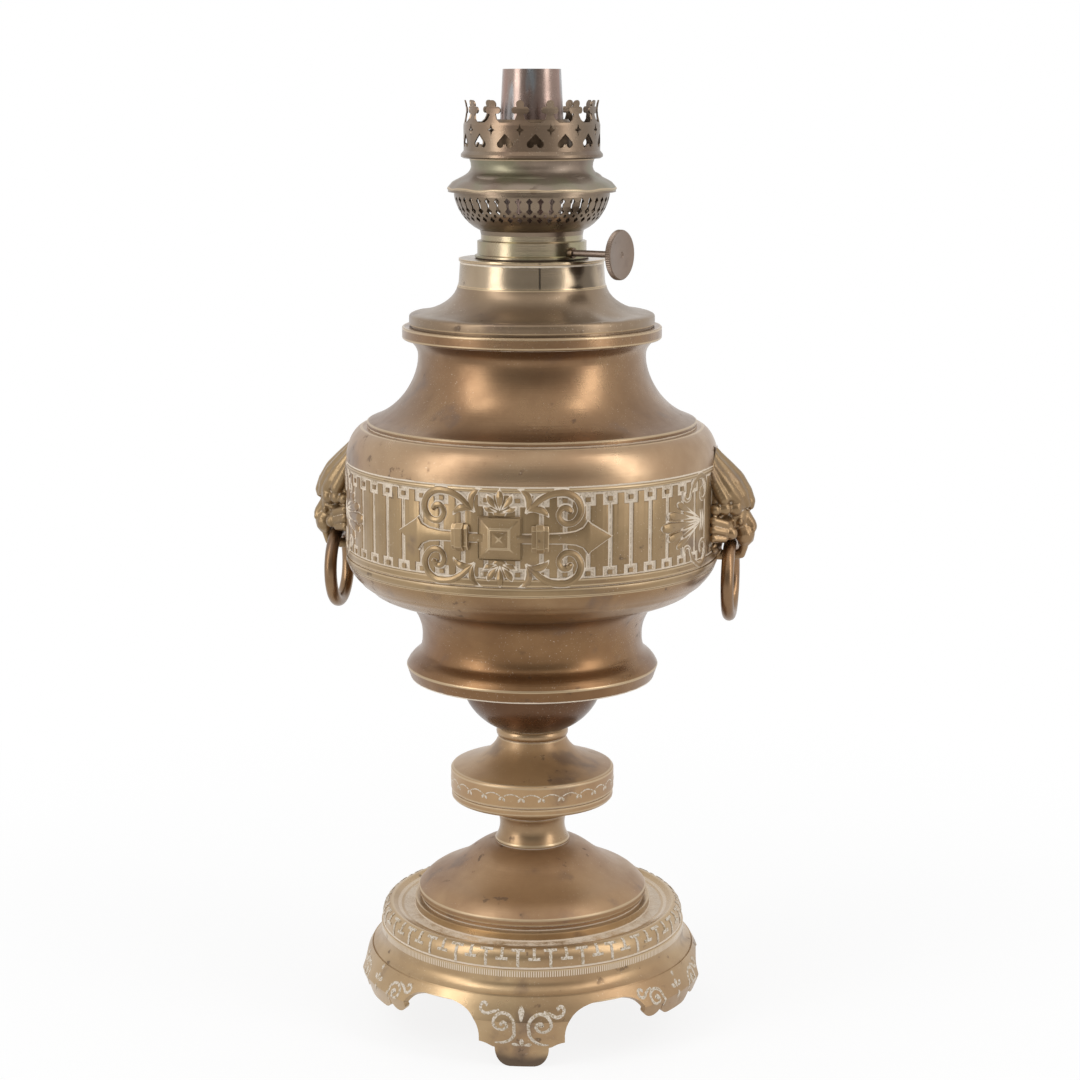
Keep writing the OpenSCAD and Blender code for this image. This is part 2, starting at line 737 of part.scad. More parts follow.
// Piercings of one column of the basket, drawn on its slope
module basket_piercing() {
    step = 2 * PI * basket_r / pierce_count;
    hole = step * 0.3;
    slit = step * 0.1;
    top = basket_h * 0.79;
    low = basket_h * 0.57;
    half = [[hole, top], [slit, top - hole * 0.8], [slit, low + hole * 0.8], [hole, low], [0, low - hole]];
    polygon(concat([[0, top + hole]], half, [for (i = [3 : -1 : 0]) [-half[i][0], half[i][1]]]));
    translate([0, basket_h * 0.38]) rotate([0, 0, 45]) square(hole * 1.2, center = true);
}

module air_basket() {
    foot_r = case_r - 1.5;
    path = concat(
        [[foot_r, z_basket]],
        curve([foot_r + 0.4, z_basket + 1.7], [basket_r - 3.6, z_basket + basket_h * 0.27],
              [basket_r - 0.8, z_basket + basket_h * 0.62], [basket_r, z_basket + basket_h * 0.87], 8),
        [[basket_r, z_cap - sheet * 1.6]]
    );
    dot = 2 * PI * basket_r / pierce_count * 0.14;
    color(brass) difference() {
        union() {
            turned(wall(path, sheet));
            tube(basket_r - sheet, shoulder_rim_r - gap, z_cap - sheet * 1.6, sheet * 1.6);
        }
        around(pierce_count) translate([0, 0, z_basket]) radial(foot_r, basket_r + 2) basket_piercing();
        around(pierce_count, 180 / pierce_count) translate([0, 0, z_basket + basket_h * 0.47])
            rotate([90, 0, 0]) translate([0, 0, foot_r]) cylinder(r = dot, h = basket_r);
    }
}

module burner_cap() {
    neck = gallery_r - 2.9;
    path = concat(
        [[shoulder_rim_r, z_cap], [shoulder_rim_r, z_cap + 0.6]],
        curve([shoulder_rim_r - 2, z_cap + cap_h * 0.24], [shoulder_rim_r - 5, z_cap + cap_h * 0.4],
              [neck + 0.6, z_cap + cap_h * 0.46], [neck, z_cap + cap_h * 0.72], 7),
        [[neck + 0.2, z_cap + cap_h * 0.86], [neck + 0.8, z_gallery]]
    );
    color(brass) turned(wall(path, sheet));
}

// One prong of the gallery with its three-lobed tip, seen from outside
module prong_outline() {
    pitch = 2 * PI * gallery_r / prong_count;
    rise = gallery_h - gallery_band_h;
    lobe = pitch * 0.13;
    translate([0, rise - lobe]) circle(r = lobe, $fn = 24);
    for (side = [-1, 1]) translate([side * lobe * 1.3, rise * 0.55]) circle(r = lobe * 0.85, $fn = 24);
    half = [[pitch * 0.3, -1], [pitch * 0.3, 0], [pitch * 0.17, rise * 0.14], [pitch * 0.11, rise * 0.34],
            [pitch * 0.14, rise * 0.6], [pitch * 0.09, rise * 0.85]];
    polygon(concat(half, [for (i = [len(half) - 1 : -1 : 0]) [-half[i][0], half[i][1]]]));
}

// Heart with its point up, pierced between two prongs
module heart_outline() {
    size = gallery_r * PI / prong_count * 0.32;
    lobe = size * 0.72;
    for (side = [-1, 1]) translate([side * size, -size * 0.6]) circle(r = lobe, $fn = 24);
    polygon([[-size * 1.55, -size * 0.15], [0, size * 1.5], [size * 1.55, -size * 0.15], [0, -size * 0.7]]);
}

// Four-pointed star with hollow sides, pierced at the foot of a prong
module star_outline() {
    reach = gallery_r * PI / prong_count * 0.36;
    polygon([for (i = [0 : 7]) reach * (i % 2 == 0 ? 1 : 0.42) * [cos(i * 45) * 0.8, sin(i * 45) * 1.1]]);
}

module chimney_gallery() {
    band_top = z_gallery + gallery_band_h;
    ledge = gallery_r - 3.5;
    inner = gallery_r - sheet;
    bead = gallery_r + 1.1;
    path = concat(
        [[gallery_r, z_gallery + 3]],
        curve([gallery_r, band_top - 1], [gallery_r - 1.2, band_top + 3], [gallery_r - 1.4, band_top + 5],
              [gallery_r - 0.4, z_prong], 6)
    );
    color(brass) difference() {
        union() {
            intersection() {
                turned(wall(path, sheet));
                union() {
                    tube(ledge, bead, z_gallery, gallery_band_h);
                    around(prong_count) translate([0, 0, band_top]) radial(ledge, bead + 2) prong_outline();
                }
            }
            turned([
                [ledge, z_gallery], [bead - 1, z_gallery], [bead, z_gallery + 0.6], [bead, z_gallery + 1.6],
                [gallery_r, z_gallery + 3], [inner, z_gallery + 3], [inner, z_gallery + 1.2],
                [ledge, z_gallery + 1.2]
            ]);
        }
        around(prong_count, 180 / prong_count) translate([0, 0, z_gallery + gallery_band_h * 0.5])
            radial(ledge + 1, bead + 1) heart_outline();
        around(prong_count) translate([0, 0, z_gallery + gallery_band_h * 0.8])
            radial(ledge + 1, bead + 1) star_outline();
    }
}

module draught_cone() {
    base_z = z_gallery - 4;
    hole = tube_r + tube_taper * (z_tube - cone_top_z) + seat;
    path = [[cone_r + 1.6, base_z], [cone_r, cone_top_z - 1], [cone_r - 0.8, cone_top_z],
            [hole + sheet, cone_top_z]];
    color(dark_brass) turned(wall(path, sheet));
}

module wick_tube() {
    low = z_fount - thread_h;
    flange_r = case_r - 3;
    inner = straight_r - sheet;
    window_h = basket_h * 0.8;
    color(pale_brass) difference() {
        turned([
            [inner, low], [straight_r, low], [straight_r, z_basket], [flange_r, z_basket],
            [flange_r, z_basket + sheet], [straight_r, z_basket + sheet], [straight_r, flare_z - 3],
            [flare_r, flare_z], [tube_r, z_tube], [tube_r - sheet * 0.8, z_tube],
            [flare_r - sheet * 0.8, flare_z + 0.3], [inner, flare_z - 2.4]
        ]);
        along_shaft(-2 * straight_r) cylinder(d = shaft_d + 2 * fit, h = 4 * straight_r);
        rotate([0, 0, shaft_turn]) translate([-straight_r * 0.6, straight_r * 0.4, z_basket + 3])
            cube([straight_r * 1.2, straight_r, window_h]);
    }
}

// Inner draught tube, held to the wick tube by a rib through the slit of the wick
module air_tube() {
    low = z_basket + 0.5;
    rib_low = z_basket + basket_h;
    rib_h = 8;
    color(pale_brass) {
        tube(air_r - 0.5, air_r, low, z_tube - low - 0.5);
        rotate([0, 0, shaft_turn]) translate([-rib_t / 2, air_r - 0.2, rib_low])
            cube([rib_t, straight_r - sheet - air_r, rib_h]);
    }
}

// Wedge of the lamp's axis that holds the given angles, for cutting a sleeve
module sector(a0, a1, r, z, h) {
    arc = [for (i = [0 : 8]) let (a = a0 + (a1 - a0) * i / 8) r * [cos(a), sin(a)]];
    translate([0, 0, z]) linear_extrude(h) polygon(concat([[0, 0]], arc));
}

module wick() {
    top = z_tube - wick_sink;
    sleeve_low = top - sleeve_h;
    outer = wick_ri + wick_t;
    color("#d8cfb8") rotate([0, 0, shaft_turn]) {
        difference() {
            tube(wick_ri, outer, sleeve_low, sleeve_h);
            sector(90 - slit_angle, 90 + slit_angle, outer * 1.5, sleeve_low - 1, sleeve_h + 2);
        }
        intersection() {
            tube(wick_ri, outer, tail_end, sleeve_low - tail_end + 1);
            sector(270 - tail_angle, 270 + tail_angle, outer * 1.5, tail_end, sleeve_low - tail_end + 1);
        }
    }
}

module wick_shaft() {
    color(steel) along_shaft(-straight_r) cylinder(d = shaft_d, h = shaft_len + straight_r);
}

module spur_wheels() {
    root = (spur_r + shaft_d / 2) / 2;
    points = [for (i = [0 : 2 * spur_teeth - 1]) let (a = i * 180 / spur_teeth)
        (i % 2 == 0 ? spur_r : root) * [cos(a), sin(a)]];
    color(steel) for (s = [-spur_edge, spur_at - spur_w / 2]) along_shaft(s) difference() {
        linear_extrude(spur_w) polygon(points);
        translate([0, 0, -1]) cylinder(d = shaft_d + 2 * fit, h = spur_w + 2);
    }
}

module wick_knob() {
    notches = 48;
    rim = knob_d / 2;
    color(dark_brass) along_shaft(shaft_len - knob_t / 2) difference() {
        union() {
            cylinder(r = rim, h = knob_t);
            translate([0, 0, -2]) cylinder(d = shaft_d + 2, h = 2.5);
        }
        translate([0, 0, -3]) cylinder(d = shaft_d + 2 * fit, h = knob_t / 2 + 3);
        translate([0, 0, knob_t - 0.4]) cylinder(r = rim - 1.2, h = 1);
        around(notches) translate([rim + 0.25, 0, -1]) rotate([0, 0, 45])
            cube([0.7, 0.7, 2 * knob_t + 2], center = true);
    }
}

base_foot();
base_dome();
stem_collar();
stem_knop();
stem_bead();
vase_cup();
vase_drum();
vase_lower();
frieze_band();
vase_shoulder();
vase_neck();
tie_rod();
tie_nuts();
tie_washers();
lion_mask_left();
lion_mask_right();
mask_bolts();
mask_nuts();
ring_left();
ring_right();
fount_tank();
fount_lid();
fount_collar();
collar_thread_ring();
burner_gasket();
burner_case();
air_basket();
draught_cone();
wick_tube();
air_tube();
wick();
wick_shaft();
spur_wheels();
wick_knob();
shaft_bush();
burner_cap();
chimney_gallery();
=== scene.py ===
# %% [markdown]
# # A brass kerosene lamp, dressed in Blender
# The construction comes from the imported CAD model, which stays the fixed frame. Blender adds what a lathe,
# a chasing hammer and a century of polish add: smooth turned shells, cast ornament, engraving and patina.
# Pieces are made in metres, where the CAD says they are. Ornament is first drawn flat, in millimetres.

# %% Load the frame
import json
import math

import bmesh
import bpy
from mathutils import Matrix, Vector


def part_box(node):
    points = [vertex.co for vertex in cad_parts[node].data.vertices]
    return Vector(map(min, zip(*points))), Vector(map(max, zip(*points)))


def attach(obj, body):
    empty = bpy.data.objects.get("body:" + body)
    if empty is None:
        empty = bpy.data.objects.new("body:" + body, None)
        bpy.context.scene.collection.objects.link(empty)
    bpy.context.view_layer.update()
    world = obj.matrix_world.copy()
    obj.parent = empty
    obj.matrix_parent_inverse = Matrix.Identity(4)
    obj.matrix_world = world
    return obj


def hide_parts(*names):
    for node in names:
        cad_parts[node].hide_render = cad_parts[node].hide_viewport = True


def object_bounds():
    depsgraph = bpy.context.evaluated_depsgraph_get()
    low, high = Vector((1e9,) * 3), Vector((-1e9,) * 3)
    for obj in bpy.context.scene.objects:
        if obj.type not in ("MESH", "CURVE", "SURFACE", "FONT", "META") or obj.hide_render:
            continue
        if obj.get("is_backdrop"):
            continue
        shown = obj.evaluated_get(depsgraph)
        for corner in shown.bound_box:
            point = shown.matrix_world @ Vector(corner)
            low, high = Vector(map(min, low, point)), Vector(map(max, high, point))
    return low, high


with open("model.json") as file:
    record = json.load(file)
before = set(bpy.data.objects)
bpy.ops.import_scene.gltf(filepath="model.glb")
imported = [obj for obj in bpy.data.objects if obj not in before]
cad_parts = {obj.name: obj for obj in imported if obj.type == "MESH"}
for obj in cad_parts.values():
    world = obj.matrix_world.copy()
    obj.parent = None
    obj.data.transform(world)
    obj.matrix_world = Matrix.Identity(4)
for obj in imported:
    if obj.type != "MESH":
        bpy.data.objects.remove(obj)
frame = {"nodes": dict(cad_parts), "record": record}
cad_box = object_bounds()
MM = 0.001
body_of = {node: body for body, nodes in frame["record"]["behaviour"]["bodies"].items() for node in nodes}
slot_of = {part["node"]: part["material_slot"] for part in frame["record"]["subparts"]}

# %% [markdown]
# ## The camera
# The photograph was taken with a longish lens from a little above the shoulder of the vase, turned ten
# degrees towards the right-hand lion. A camera can be aimed by a constraint, but plain numbers stay put in
# every view.

# %% Camera
def put(name, data):
    """A new object in the scene."""
    made = bpy.data.objects.new(name, data)
    bpy.context.scene.collection.objects.link(made)
    return made


lens = bpy.data.cameras.new("photo_camera")
lens.lens, lens.sensor_width = 77.72, 36.0
camera = put("photo_camera", lens)
camera.location = (0.1616, -0.9165, 0.3773)
camera.rotation_euler = (math.radians(79.138), 0, math.radians(9.803))
bpy.context.scene.camera = camera
bpy.context.scene.view_settings.view_transform = "Standard"
print("camera at", tuple(round(c, 3) for c in camera.location))

# %% [markdown]
# ## Shader maths as Python
# A finish is mostly arithmetic on masks. Math nodes can be laid out by hand, but an expression is easier to
# read, so one small class wraps a socket: `1 - mask * 0.5` adds the two Math nodes. Every other node comes
# from `node`, which sets the node's settings first and then its sockets.

# %% The socket class
class Value:
    """One output of a shader tree, or with no socket the tree itself."""

    def __init__(self, tree, socket=None):
        self.tree, self.socket = tree, socket

    def node(self, kind, settings=None, inputs=None, out=0):
        made = self.tree.nodes.new(kind)
        for key, setting in (settings or {}).items():
            setattr(made, key, setting)
        for key, given in (inputs or {}).items():
            if isinstance(given, Value):
                self.tree.links.new(given.socket, made.inputs[key])
            else:
                made.inputs[key].default_value = given
        return Value(self.tree, made.outputs[out] if made.outputs else None)

    def math(self, operation, other=0):
        return self.node("ShaderNodeMath", {"operation": operation}, {0: self, 1: other})

    def __add__(self, other):
        return self.math("ADD", other)

    def __sub__(self, other):
        return self.math("SUBTRACT", other)

    def __rsub__(self, other):
        return self.node("ShaderNodeMath", {"operation": "SUBTRACT"}, {0: other, 1: self})

    def __mul__(self, other):
        return self.math("MULTIPLY", other)

    __radd__, __rmul__ = __add__, __mul__


print("socket class ready")

# %% [markdown]
# ## Room and light
# The lamp stood in a white sweep between two softboxes, which draw the two pale bands on every turned form.
# The world is white for the camera, for reflections and for anything seen through, and a plain level for the
# rest, so the brass is lit evenly and its colour renders about as it is written. Only the side behind the
# camera is dim, as a dark room is, which gives the turned forms their dark middle. The floor is nearly white
# and still takes the shadow of the feet.

# %% World
PLAIN, DARK = 0.7, 0.7
TO_CAMERA, UP = (0.17, -0.985, 0), (0, 0, 1)


def bare_tree(block):
    """The emptied node tree of a world or a material."""
    block.use_nodes = True
    block.node_tree.nodes.clear()
    return Value(block.node_tree)


def seen_ray(tree, kinds=("Is Camera Ray", "Is Glossy Ray", "Is Transmission Ray")):
    """1 for rays of the given kinds, by default all that show the background."""
    seen = 0
    for kind in kinds:
        seen = tree.node("ShaderNodeLightPath", None, None, kind).math("MAXIMUM", seen)
    return seen


def rise(value, low, high):
    """0 below low, 1 above high, and a smooth step between."""
    return value.node("ShaderNodeMapRange", {"interpolation_type": "SMOOTHSTEP"},
                      {"Value": value, "From Min": low, "From Max": high})


world = bpy.data.worlds.new("white_sweep")
bpy.context.scene.world = world
sky = bare_tree(world)
towards = sky.node("ShaderNodeTexCoord", None, None, "Generated")
facing, high = (sky.node("ShaderNodeVectorMath", {"operation": "DOT_PRODUCT"}, {0: towards, 1: way}, "Value")
                for way in (TO_CAMERA, UP))
dim = rise(facing, 0.45, 0.9) * (1 - rise(high, 0.35, 0.75))
unseen = 1 - seen_ray(sky, ["Is Camera Ray"])
level = seen_ray(sky) * (1 - PLAIN) + PLAIN - dim * unseen * DARK
glow = sky.node("ShaderNodeBackground", None, {"Color": (1, 1, 1, 1), "Strength": level})
sky.node("ShaderNodeOutputWorld", None, {"Surface": glow})
print("world:", len(world.node_tree.nodes), "nodes")

# %% Floor and softboxes
FLOOR_HALF, AWAY, TALL, AIM = 3.0, 1.15, 1.6, Vector((0, 0, 0.2))


def mesh_of(name, solid):
    """A mesh from a bmesh, which is freed."""
    mesh = bpy.data.meshes.new(name)
    solid.to_mesh(mesh)
    solid.free()
    return mesh


def finish(name):
    """A new material, and its empty tree as a Value."""
    made = bpy.data.materials.new(name)
    return made, bare_tree(made)


def spot_of(tree):
    """The object coordinates."""
    return tree.node("ShaderNodeTexCoord", None, None, "Object")


def turned(degrees):
    """A turn about the lamp's axis."""
    return Matrix.Rotation(math.radians(degrees), 3, "Z")


def polar(radius, angle, height):
    """The point at a radius, an angle and a height."""
    return Vector((radius * math.cos(angle), radius * math.sin(angle), height))


def softbox(name, azimuth, width, power):
    """A tall area light that stands on the floor and faces the lamp from a direction, in degrees."""
    data = bpy.data.lights.new(name, "AREA")
    data.shape, data.size, data.size_y, data.energy = "RECTANGLE", width, TALL, power
    lamp = put(name, data)
    lamp.location = polar(AWAY, math.radians(azimuth), TALL / 2)
    lamp.rotation_euler = (AIM - lamp.location).to_track_quat("-Z", "Y").to_euler()


sheet = bmesh.new()
bmesh.ops.create_grid(sheet, x_segments=2, y_segments=2, size=FLOOR_HALF)
floor = put("floor", mesh_of("floor", sheet))
paper, card = finish("white_paper")
matt = card.node("ShaderNodeBsdfDiffuse", None, {"Color": (0.95, 0.95, 0.95, 1)})
lit = card.node("ShaderNodeEmission", None, {"Color": (1, 1, 1, 1), "Strength": 1.0})
apart = card.node("ShaderNodeVectorMath", {"operation": "LENGTH"}, {0: spot_of(card)}, "Value")
glare = seen_ray(card) * (rise(apart, 0.1, 0.5) * 0.15 + 0.85)
both = card.node("ShaderNodeMixShader", None, {0: glare, 1: matt, 2: lit})
card.node("ShaderNodeOutputMaterial", None, {"Surface": both})
floor.data.materials.append(paper)
floor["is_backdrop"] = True
softbox("softbox_left", -139, 0.5, 8.0)
softbox("softbox_right", -19, 0.4, 6.4)
print("room: world, floor and two softboxes")

# %% [markdown]
# ## Aged brass
# Old brass is never one colour: brown clouds of patina, redder patches, fine lathe lines, pale specks of
# dust, in every hollow the white residue of metal polish, and edges rubbed bright, a lighter colour that also
# paints the highlight along edges. Hollows and edges can be
# found by ambient occlusion, but a value kept on the mesh is surer, so each piece carries an attribute called
# hollow: 1 deep in a corner, -1 on a worn edge.

# %% The brass finish
# Rubbed edges take the worn colour, which also serves as a painted highlight along edges.
RESIDUE, WORN_AND_HIGHLIGHT, REDDISH = (0.7, 0.6, 0.48), (0.52, 0.39, 0.24), (0.26, 0.115, 0.05)
TARNISH, PIT = (0.15, 0.1, 0.072), (0.09, 0.055, 0.035)
LATHE_LINES = (25, 25, 2600)


def noise(where, scale, detail):
    return where.node("ShaderNodeTexNoise", None, {"Vector": where, "Scale": scale, "Detail": detail}, "Fac")


def stretched(where, scale):
    return where.node("ShaderNodeMapping", None, {"Vector": where, "Scale": scale})


def blend(factor, first, second):
    """A mix of two colours, each a Value or plain red, green and blue."""
    first, second = ((*c, 1) if isinstance(c, tuple) else c for c in (first, second))
    return factor.node("ShaderNodeMix", {"data_type": "RGBA"}, {0: factor, 6: first, 7: second}, 2)


def bump(strength, distance, height):
    return height.node("ShaderNodeBump", None, {"Strength": strength, "Distance": distance, "Height": height})


def surface(tree, inputs):
    """Ends a material with one Principled shader."""
    shader = tree.node("ShaderNodeBsdfPrincipled", None, inputs)
    tree.node("ShaderNodeOutputMaterial", None, {"Surface": shader})


def brass(name, bright, brown, rough=0.33, lathe=0.5, dust=0.35, dull=0.1, extra=None):
    """Brass from a bright tone to a brown one. dull is how much of it is matt patina instead of metal, and
    extra may add to the colour: extra(where, colour)."""
    made, tree = finish(name)
    where = spot_of(tree)
    clouds = rise(noise(where, 24, 5), 0.36, 0.66)
    mottle, grain = noise(where, 210, 4), noise(where, 1500, 2)
    lines = noise(stretched(where, LATHE_LINES), 1.0, 2)
    red = rise(noise(where, 13, 3), 0.5, 0.7)
    tarnish = rise(noise(where, 52, 4), 0.58, 0.72)
    pits = rise(mottle, 0.63, 0.7) * rise(noise(where, 31, 2), 0.5, 0.6)
    specks = rise(grain, 0.64, 0.74) * rise(noise(where, 40, 3), 0.4, 0.6)
    colour = blend(clouds * 0.7 + (mottle - 0.5) * 0.5, bright, brown)
    layers = ((red * 0.3, REDDISH), (tarnish * 0.6, TARNISH), (pits * 0.6, PIT), (specks * dust, RESIDUE))
    for mask, tone in layers:
        colour = blend(mask, colour, tone)
    if extra:
        colour = extra(where, colour)
    hollow = tree.node("ShaderNodeAttribute", {"attribute_name": "hollow"}, None, "Fac")
    # Convex edges are rubbed bright: real wear that also stands in as a painted edge highlight.
    worn_and_highlight = rise(mottle * 0.5 - hollow, 0.5, 1.1)
    white = rise(hollow + (mottle - 0.5) * 0.7 + (grain - 0.5) * 0.5, 0.32, 0.75)
    colour = blend(white, blend(worn_and_highlight * 0.8, colour, WORN_AND_HIGHLIGHT), RESIDUE)
    roughness = clouds * 0.1 + mottle * 0.12 + pits * 0.2 + white * 0.3 + (rough - 0.08)
    relief = lines * lathe + mottle * 0.5 + grain * 0.25
    surface(tree, {"Base Color": colour, "Metallic": (1 - white * 0.9) * (1 - dull), "Roughness": roughness,
                   "Coat Weight": 0.2, "Coat Roughness": 0.35, "Normal": bump(0.25, 0.3 * MM, relief)})
    return made


cast_brass = brass("cast_brass", (0.33, 0.225, 0.115), (0.2, 0.13, 0.062), lathe=0.0, dull=0.25)
print("brass finish ready:", len(cast_brass.node_tree.nodes), "nodes")

# %% [markdown]
# ## Turned shells
# The dome, the stem, the vase and the fount are spun from sheet or turned on a lathe. The CAD solids are
# exact but made of cones, which band under a glossy finish. So each one is cut through its axis, the outline
# is drawn as a smooth curve with small eased corners, and that outline is spun again. Hollow corners keep the
# residue.

# %% Section of a turned solid
WELD, SLACK = 2e-6, 0.012 * MM


def solid_from(holder):
    """The shape of an object as a bmesh."""
    mesh = bpy.data.meshes.new_from_object(holder)
    solid = bmesh.new()
    solid.from_mesh(mesh)
    bpy.data.meshes.remove(mesh)
    return solid


def sliced(solid, point, normal, snap, clear=False):
    """Cuts a bmesh with a plane, drops the far side if asked, and gives what lies in the cut."""
    whole = solid.verts[:] + solid.edges[:] + solid.faces[:]
    return bmesh.ops.bisect_plane(solid, geom=whole, dist=snap, plane_co=point, plane_no=normal,
                                  clear_outer=clear)["geom_cut"]


def section_of(node, degrees=0.0):
    """The longest closed outline of a node cut through its axis, as (radius, height) vectors."""
    angle = math.radians(degrees)
    along, across = polar(1, angle, 0), Vector((-math.sin(angle), math.cos(angle), 0))
    solid = solid_from(frame["nodes"][node])
    bmesh.ops.remove_doubles(solid, verts=solid.verts, dist=WELD)
    cut = [e for e in sliced(solid, (0, 0, 0), across, WELD) if isinstance(e, bmesh.types.BMEdge)]
    edges = dict.fromkeys(e for e in cut if (e.verts[0].co + e.verts[1].co).dot(along) > 0)
    loops = []
    while edges:
        onward, _ = edges.popitem()
        loop = [onward.verts[0]]
        while onward:
            edges.pop(onward, None)
            loop.append(onward.other_vert(loop[-1]))
            onward = next((e for e in loop[-1].link_edges if e in edges), None)
        loops.append([Vector((v.co.dot(along), v.co.z)) for v in loop[:-1]])
    solid.free()
    return straightened(max(loops, key=len))


def straightened(loop):
    """Drops points that lie on the line between their neighbours."""
    i = 0
    while i < len(loop):
        a, p, b = loop[i - 1], loop[i], loop[(i + 1) % len(loop)]
        span = b - a
        if span.length < 1e-9 or abs(span.x * (p - a).y - span.y * (p - a).x) / span.length < SLACK:
            loop.pop(i)
            i = 0
        else:
            i += 1
    return loop


print("section of the dome:", len(section_of("base_dome")), "points")

# %% Smooth outline with eased corners
def marks_of(path):
    """How far along a path each of its points lies."""
    marks = [0.0]
    for a, b in zip(path, path[1:]):
        marks.append(marks[-1] + (b - a).length)
    return marks


def along_path(path, marks, mark):
    """The point of a path at a distance along it."""
    for a, b, low, high in zip(path, path[1:], marks, marks[1:]):
        if mark <= high:
            return a.lerp(b, (mark - low) / max(high - low, 1e-12))
    return path[-1]


def curve_through(run, step):
    """Catmull-Rom curve through the points of a run."""
    if len(run) == 2:
        return run
    padded = [run[0] * 2 - run[1], *run, run[-1] * 2 - run[-2]]
    path = []
    for a, b, c, d in zip(padded, padded[1:], padded[2:], padded[3:]):
        pieces = max(1, min(6, round((c - b).length / step)))
        for k in range(pieces):
            t = k / pieces
            path.append(0.5 * (2 * b + (c - a) * t + (2 * a - 5 * b + 4 * c - d) * t * t
                               + (3 * b - a - 3 * c + d) * t * t * t))
    return path + [run[-1]]


def eased(loop, corner=30.0, ease=0.28 * MM, step=1.6 * MM):
    """Points along a smooth closed outline, and their hollow values: 1 in a corner, -1 on an edge, else 0."""
    count = len(loop)
    area = sum(loop[i - 1].x * loop[i].y - loop[i].x * loop[i - 1].y for i in range(count))
    loop = loop if area > 0 else loop[::-1]
    bend = []
    for i in range(count):
        before, after = loop[i] - loop[i - 1], loop[(i + 1) % count] - loop[i]
        bend.append(-math.degrees(before.angle_signed(after)))
    corners = [i for i in range(count) if abs(bend[i]) > corner]
    points, hollow = [], []
    for start, end in zip(corners, corners[1:] + [corners[0] + count]):
        run = [loop[i % count] for i in range(start, end + 1)]
        path = curve_through(run, step)
        marks, length = marks_of(path), marks_of(run)[-1]
        near, far = min(ease, length * 0.25), min(3 * ease, length * 0.4)
        places = [near, far] + [m for m in marks if far * 1.3 < m < length - far * 1.3]
        places += [marks[-1] - far, marks[-1] - near]
        points += [along_path(path, marks, mark) for mark in places]
        points.append(points[-1].lerp(run[-1], 0.7))
        first, last = (1.0 if bend[i % count] < 0 else -1.0 for i in (start, end))
        hollow += [first] + [0.0] * (len(places) - 2) + [last, last]
    return points, hollow


print("eased dome outline:", len(eased(section_of("base_dome"))[0]), "points")

# %% Spin an outline, and put a piece in the scene
FULL_TURN = 2 * math.pi


def place(name, solid, material, node=None, body=None, slot=None, sharp=38):
    """Turns a bmesh into a piece that rides on a body, and stands for a CAD node where one is named."""
    mesh = mesh_of(name, solid)
    mesh.materials.append(material)
    mesh.shade_smooth()
    mesh.set_sharp_from_angle(angle=math.radians(sharp))
    piece = put(name, mesh)
    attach(piece, body or body_of[node])
    slot or slot_of[node]
    if node:
        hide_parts(node)
    print(name + ":", len(mesh.polygons), "faces")


def hollow_of(solid):
    """The layer of hollow values of a bmesh."""
    layers = solid.verts.layers.float
    return layers.get("hollow") or layers.new("hollow")


def welded(solid, reach=1e-6):
    """Merges the points of a bmesh that coincide, and turns its faces outwards."""
    bmesh.ops.remove_doubles(solid, verts=solid.verts, dist=reach)
    bmesh.ops.recalc_face_normals(solid, faces=solid.faces)
    return solid


def spun(points, hollow, steps=144, turn=FULL_TURN, start=0.0):
    """A bmesh spun from a closed outline of (radius, height) points."""
    solid = bmesh.new()
    layer = hollow_of(solid)
    ring = [solid.verts.new(polar(p.x, start, p.y)) for p in points]
    for vert, value in zip(ring, hollow):
        vert[layer] = value
    edges = [solid.edges.new((ring[i - 1], ring[i])) for i in range(len(ring))]
    bmesh.ops.spin(solid, geom=ring + edges, cent=(0, 0, 0), axis=(0, 0, 1), angle=turn, steps=steps,
                   use_merge=turn == FULL_TURN)
    return welded(solid)


def lathe_work(node, bright, brown, rough=0.28, dull=0.15):
    """The node spun smooth in a brass of its own tones, which carry painted shade and light, with residue
    where its foot meets the piece below.
    """
    points, hollow = eased(section_of(node))
    foot = min(p.y for p in points) + 0.3 * MM
    hollow = [1.0 if p.y < foot else value for p, value in zip(points, hollow)]
    metal = brass(node + "_brass", bright, brown, rough, dull=dull)
    place(node + "_turned", spun(points, hollow), metal, node)


# Each piece's tones are its own brass plus painted shade and light: the down-facing cup and the drum are
# painted darker, the up-facing shoulder lighter.
tones_with_painted_light = {
    "base_dome": ((0.36, 0.22, 0.11), (0.22, 0.114, 0.053), 0.4, 0.5),
    "stem_collar": ((0.36, 0.24, 0.13), (0.24, 0.14, 0.07)),
    "stem_knop": ((0.42, 0.265, 0.13), (0.29, 0.165, 0.078), 0.36, 0.5),
    "stem_bead": ((0.4, 0.27, 0.15), (0.3, 0.18, 0.09)),
    "vase_cup": ((0.13, 0.062, 0.028), (0.085, 0.04, 0.018)),
    "vase_drum": ((0.25, 0.137, 0.058), (0.155, 0.074, 0.028)),
    "vase_lower": ((0.3, 0.185, 0.09), (0.19, 0.102, 0.044)),
    "vase_neck": ((0.265, 0.157, 0.079), (0.16, 0.085, 0.038)),
    "vase_shoulder": ((0.42, 0.285, 0.168), (0.29, 0.178, 0.095)),
}
for node, look in tones_with_painted_light.items():
    lathe_work(node, *look)

# %% [markdown]
# ## The base casting
# Three long feet and three shorter pendants hang from a moulded plinth. A boolean could cut the arches, but
# it leaves ragged triangles on a curved wall. Instead the apron starts as a flat cut-out, like a paper
# pattern, is sliced into a fine grid, bent on to the turned profile, and then given its wall.

# %% Plinth
FOOT_TURN, ARCH, PLINTH, HALF_SIXTH, APRON_WALL = 6.4, 26.6, 29.0, 38.68, 2.4
